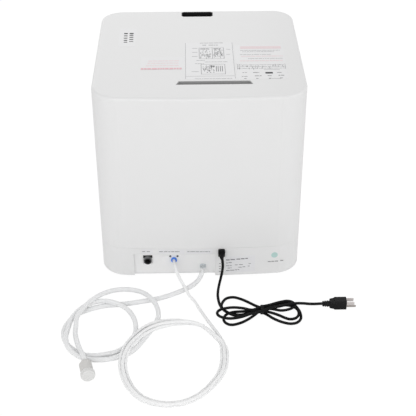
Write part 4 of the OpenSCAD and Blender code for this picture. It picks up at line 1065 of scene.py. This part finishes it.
def makeControls():
    s = controls
    dress("control_panel", "controlPanel", mouldedPlastic("panelBlack", (0.014, 0.014, 0.016), 0.12, 0.02),
          "black_gloss", 0.5)
    pane = addSlab("displayPane", *about(*s["display"]), s["displayCorner"], 1)
    softEdges(pane, 0.12)
    fit(pane, mouldedPlastic("displayTint", (0.004, 0.005, 0.008), 0.05, 0.0), "black_gloss", "control_panel")
    marks = startMarks("displayMarks")
    for a, b, z, thick in s["display marks"]:
        frontMark(a, b, z, thick, s["front"] + 0.05)
    glow = printInk("displayInk", s["glow"])
    glow.paint(Emission_Color=glow.shade(glow.noise(60), s["glow"], 0.8, 1), Emission_Strength=s["lit"])
    printed(marks, glow, "control_panel")
    marks = startMarks("panelMarks")
    for i, x in enumerate(s["keys"].values()):
        for a, b, up, thick in s["above keys"]:
            frontMark(x + a * (1 - s["shrink"] * i), x + b, s["iconZ"] + up, thick, s["front"] - 0.03)
    printed(marks, printInk("panelInk", s["ink"]), "control_panel")
    metal = brushedMetal("keySatin", (0.62, 0.62, 0.63), 0.32)
    for name in s["keys"]:
        key = refine(name + "_button", name + "Key", 0.5, 3)
        pick(key, "FACE", lambda f: f.normal.y < -0.99 and place(f).y < s["front"] + 0.2)
        sunk(1.6, 0, 0.45, 0)
        softEdges(key, 0.12)
        fit(key, metal, "button", name + "_button")


doorParts = {
    "middle": 235, "half": (120, 75), "border": 8, "tint": (0.012, 0.013, 0.015), "pane": (0.05, 0.06, 0.065),
    "cover": 0.32, "beads": 70, "beadsTop": 0.15, "liner": (0.60, 0.61, 0.62), "lid": (0.45, 0.46, 0.47),
    "ribs": ((-43.3, -164.65, 123), (1.4, 0.7, 24)), "ribStep": 9, "ribCount": 4,       # the first one's middle, size
}


# The panes are clear within a dark printed border
def makeDoor():
    s = doorParts
    dress("door_outer", "doorShell", shared["white"], "white_body", 0.7, 3)
    glass = Finish("paneGlass", Specular_IOR_Level=0.5)
    axes = glass.axes()
    wide, tall, edge = s["half"][0] * mm, s["half"][1] * mm, s["border"] * mm
    side = (abs(axes["X"]) - (wide - edge)).atLeast(0.0)
    rise = (abs(axes["Z"] - s["middle"] * mm) - (tall - edge)).atLeast(0.0)
    border = (side * side + rise * rise) > edge ** 2
    smear = glass.noise(18, 3)
    glass.paint(Base_Color=glass.mix(border, s["pane"], s["tint"]), Alpha=border.atLeast(smear * 0.08 + s["cover"]),
                Roughness=0.04 + smear * 0.05)
    liner = brushedMetal("linerSteel", s["liner"], 0.3)
    level = liner.axes()["Z"]
    wave = (level * s["beads"]).frac()
    liner.bump((level < s["beadsTop"]) * (wave > 0.35) * (wave < 0.65), 0.5, 0.0012)
    dress("door_glass", "doorGlass", glass, "glass", 0.3)
    dress("door_inner", "doorLiner", liner, "liner", 0.8, 3)
    dress("door_seal", "doorSeal", mouldedPlastic("sealRubber", (0.05, 0.05, 0.052), 0.6, 0.3), "seal", 1.6, 4)
    dress("door_hook", "doorHook", shared["steel"], "steel", 0.6, 3)
    lid = [refine("detergent_slide", "detergentLid", 0.5, 3)]
    for k in range(s["ribCount"]):
        (x, y, z), size = s["ribs"]
        lid.append(addBox("rib", *about((x + k * s["ribStep"], y, z), size)))
        softEdges(lid[-1], 0.3)
    fit(joined("detergentLid", lid), mouldedPlastic("lidGrey", s["lid"], 0.4, 0.1), "grey_plastic", "detergent_slide")


sprayArms = {
    "lower": (122, 144, (118, 134), 1), "upper": (326, 90, (324, 338), -1),     # z, reach, hub, nozzle side
    "half": 12.9, "deep": 10, "bore": 8.15, "hub": 18, "colour": (0.52, 0.53, 0.54),
    "slot": (7, 2.2, 7), "first": 30, "last": 20, "apart": 18, "aside": 4.5,
    "cuts": (-0.75, -0.4, 0.4, 0.75), "taper": ((0.7, (1, 0.84, 0.78)), (0.8, (1, 0.9, 0.8))),
    # the collar's profile: (above the hub's low end or below its high end, off the hub's radius)
    "foot": [(0, 1), (1, 0), (-3, 0), (-1.5, 1.5), (-1.5, 5), (0, 6.5)],
}


# A tapered blade with a collar and a row of nozzle slots cut into it
def makeSprayArm(which):
    s = sprayArms
    z, reach, (low, high), side = s[which]
    name = which + "SprayArm"
    half, deep = s["half"], s["deep"]
    blade = addSlab(name, (-reach, -half, z), (reach, half, z + deep), half - 0.2, 2, 10)
    sliced(blade, *[share * reach for share in s["cuts"]])
    for share, by in s["taper"]:
        pick(blade, "VERT", lambda v: abs(place(v).x) > reach * share)
        scaled(by, (0, 0, z + (0 if side > 0 else deep)))
    carve(blade, addRod("bore", (0, 0, z - 1), s["bore"], deep + 2, 2))
    top = z + deep if side > 0 else z
    carve(blade, *[addSlab("slot", *about((x * way, s["aside"] * way, top - 1.5 * side), s["slot"]), 1, 2, 3)
                   for x in range(s["first"], reach - s["last"], s["apart"]) for way in (1, -1)])
    softEdges(blade, 1.4, 4)
    rise = [(low, s["bore"])]
    for k, (at, off) in enumerate(s["foot"]):
        rise.append(((low if k < 2 else high) + at, s["hub"] - off))
    collar = turned("collar", (0, 0, 0), rise + [(high, s["bore"]), rise[0]], 2)
    softEdges(collar, 0.3)
    fit(joined(name, [blade, collar]), mouldedPlastic(name + "Grey", s["colour"], 0.4, 0.1), "grey_plastic",
        which + "_spray_arm")


basket = {
    "x": (92, 148), "y": (-60, 80), "cell": 46, "cells": 3, "slots": (6.5, 17.5, 28.5, 39.5),
    "ends": (12, 22, 34, 44),
    "rows": ((164, 186), (193, 215)), "wide": 4.6, "round": 2.2, "past": 2, "wall": 1, "colour": (0.34, 0.35, 0.36),
}


def makeCutleryBasket():
    s = basket
    cup = refine("cutlery_basket", "cutleryBasket", 0)
    (left, right), (front, back), half, past = s["x"], s["y"], s["wide"] / 2, s["past"]
    across, lengthwise = [], []
    for low, high in s["rows"]:
        for y in [front + s["wall"] + k * s["cell"] + at for k in range(s["cells"]) for at in s["slots"]]:
            across.append(addSlab("slot", (left - past, y - half, low), (right + past, y + half, high),
                                  s["round"], 0, 3))
        for x in [left + at for at in s["ends"]]:
            lengthwise.append(addSlab("slot", (x - half, front - past, low), (x + half, back + past, high),
                                      s["round"], 1, 3))
    carve(cup, *across)
    carve(cup, *lengthwise)
    softEdges(cup, 0.35)
    fit(cup, mouldedPlastic("basketGrey", s["colour"], 0.45, 0.1), "basket", "cutlery_basket")


tubParts = {
    "steel": (0.64, 0.64, 0.65), "beads": 16, "mesh": (130, 260), "hole": 0.32, "filter": (0.52, 0.52, 0.53),
    # The filter's holes are painted as near-black dots: painted shade for the dark inside seen through them
    "middleY": -0.095, "open": (0.03, 0.03, 0.03),
}


def makeTub():
    s = tubParts
    wall = brushedMetal("tubSteel", s["steel"], 0.28, 1)
    wave = abs((wall.axes()["Y"] * s["beads"]).frac() - 0.5)
    wall.bump(wave < 0.16, 0.35, 0.0012)
    dress("tub", "washTub", wall, "tub_steel", 0.6, 3)
    cup = brushedMetal("filterSteelShadedHoles", s["filter"], 0.36)
    axes = cup.axes()
    turn = axes["X"].sum("ARCTAN2", axes["X"], axes["Y"] - s["middleY"])
    u = (turn * (s["mesh"][0] / math.tau)).frac() - 0.5
    v = (axes["Z"] * s["mesh"][1]).frac() - 0.5
    # Painted shade: near-black dots where the holes are
    cup.paint(Base_Color=cup.mix((u * u + v * v) < s["hole"] ** 2, s["filter"], s["open"]))
    dress("filter_basket", "filterCup", cup, "filter", 0.3)


smallParts = {
    "feet": (155, 150), "footSides": 36, "padMargin": 2, "padDepth": 1.2,
    "foot": [(0, 8.2), (0, 10.2), (0.5, 10.8), (1.4, 11.2), (2.0, 11.9), (5.0, 11.9), (5.4, 11.4), (6, 11.4)],
    "bars": ((0.35, 1.5), (1.5, 0.35)),                             # the two bars of a cross recess, halved
    "rear": (58, 7.8, 205.35, 52.5), "rearDeep": 1.3,               # middle x, half spacing, y, z
    "screws": 120, "screwZ": 3.75, "screwDeep": 1.5, "larger": 1.7,
}


def makeSmallParts():
    s = smallParts
    corners = [(x, y) for x in (-1, 1) for y in (-1, 1)]
    feet = []
    for x, y in corners:
        foot = turned("foot", (x * s["feet"][0], y * s["feet"][1], 0), s["foot"], 2, s["footSides"])
        pick(foot, "FACE", lambda f: f.normal.z < -0.9 and place(f).z < 0.1)
        sunk(s["padMargin"], 0, 0, s["padDepth"])
        softEdges(foot, 0.25)
        feet.append(foot)
    fit(joined("machineFeet", feet), mouldedPlastic("footRubber", (0.04, 0.04, 0.042), 0.7, 0.3), "foot", "feet")
    screws = refine("screws", "caseScrews", 0.25)
    middle, gap, y, z = s["rear"]
    for wide, tall in s["bars"]:
        cuts = [addBox("cut", *about((middle + side * gap, y, z), (2 * wide, s["rearDeep"], 2 * tall)))
                for side in (-1, 1)]
        long = [2 * s["larger"] * v for v in (wide, tall)]
        cuts += [addBox("cut", *about((a * s["screws"], b * s["screws"], s["screwZ"]), (*long, s["screwDeep"])))
                 for a, b in corners]
        carve(screws, *cuts)
    fit(screws, brushedMetal("screwZinc", (0.16, 0.16, 0.17), 0.4), "screw", "screws")


makeControls()
makeDoor()
print("controls and door made")
makeSprayArm("lower")
makeSprayArm("upper")
makeCutleryBasket()
makeTub()
makeSmallParts()
print("inside and small parts made")

# Each plain finish: its slot, and its material's name, colour, roughness and grain
plastics = {
    # The recess panel is the body's white plastic given a lighter colour: painted light against the shade in the
    # recess
    "recess": ("white_body", "recessWhite", (0.87, 0.87, 0.87), 0.42, 0.06),
    "trim": ("white_trim", "trimWhite", (0.76, 0.76, 0.755), 0.5, 0.1),
    "board": ("board", "boardGreen", (0.02, 0.12, 0.05), 0.4, 0.1),
    "grey": ("grey_plastic", "sprayGrey", (0.50, 0.51, 0.52), 0.42, 0.1),
    "dark": ("dark_plastic", "darkMoulding", (0.06, 0.06, 0.065), 0.5, 0.15),
    "rotor": ("rotor", "rotorGrey", (0.30, 0.30, 0.31), 0.45, 0.1),
    "rack": ("rack", "rackNylon", (0.42, 0.44, 0.46), 0.36, 0.1),
    "tank": ("tank", "tankMilky", (0.74, 0.78, 0.79), 0.4, 0.1),
    "filler": ("filler", "fillerBlack", (0.012, 0.012, 0.013), 0.4, 0.1),
    "outlet": ("vent", "outletGrey", (0.42, 0.42, 0.42), 0.5, 0.1),
}
finishes = {"white": (shared["white"], "white_body"), "steel": (shared["steel"], "steel"),
            "lead": (shared["lead"], "cord")}
for kind, (slot, *look) in plastics.items():
    finishes[kind] = mouldedPlastic(*look), slot
# The other nodes, each with its finish and how far its edges are eased
plan = {
    "base_housing": ("white", 0.6), "rear_panel": ("recess", 0.3), "front_frame": ("trim", 0.5),
    "latch_case": ("dark", 0.5), "latch_plunger": ("steel", 0), "hinge_pins": ("steel", 0.5),
    "sump": ("grey", 0.5), "spray_hub": ("grey", 0.5), "riser_pipe": ("grey", 0), "heater": ("steel", 0),
    "float_bell": ("trim", 1.2), "wash_pump": ("dark", 0.6), "drain_pump": ("dark", 0.6),
    "blower_housing": ("dark", 0.6), "rack_rails": ("trim", 0.5), "cup_shelf": ("rack", 0),
    "rack_basket": ("rack", 0), "water_tank": ("tank", 1), "filler_mouth": ("filler", 0.4),
    "vent_insert": ("outlet", 0.3), "inlet_valve": ("dark", 0.5), "cord_grip": ("lead", 0.5),
}
renamed = {"heater": "heaterLoop", "sump": "sumpBowl", "rack_basket": "dishRack", "vent_insert": "outletInsert"}
for node, (kind, width) in plan.items():
    first, *rest = node.split("_")
    dress(node, renamed.get(node, first + "".join(rest).title()), *finishes[kind], width, 2, 50)
print("parts refined")
left = {"control_board": "board", "wash_impeller": "rotor", "drain_impeller": "rotor", "blower_wheel": "rotor",
        "pipework": "grey"}
for name, node in frame["nodes"].items():
    node.data.materials.clear()
    node.data.materials.append(finishes[left.get(name, "white")][0].material)
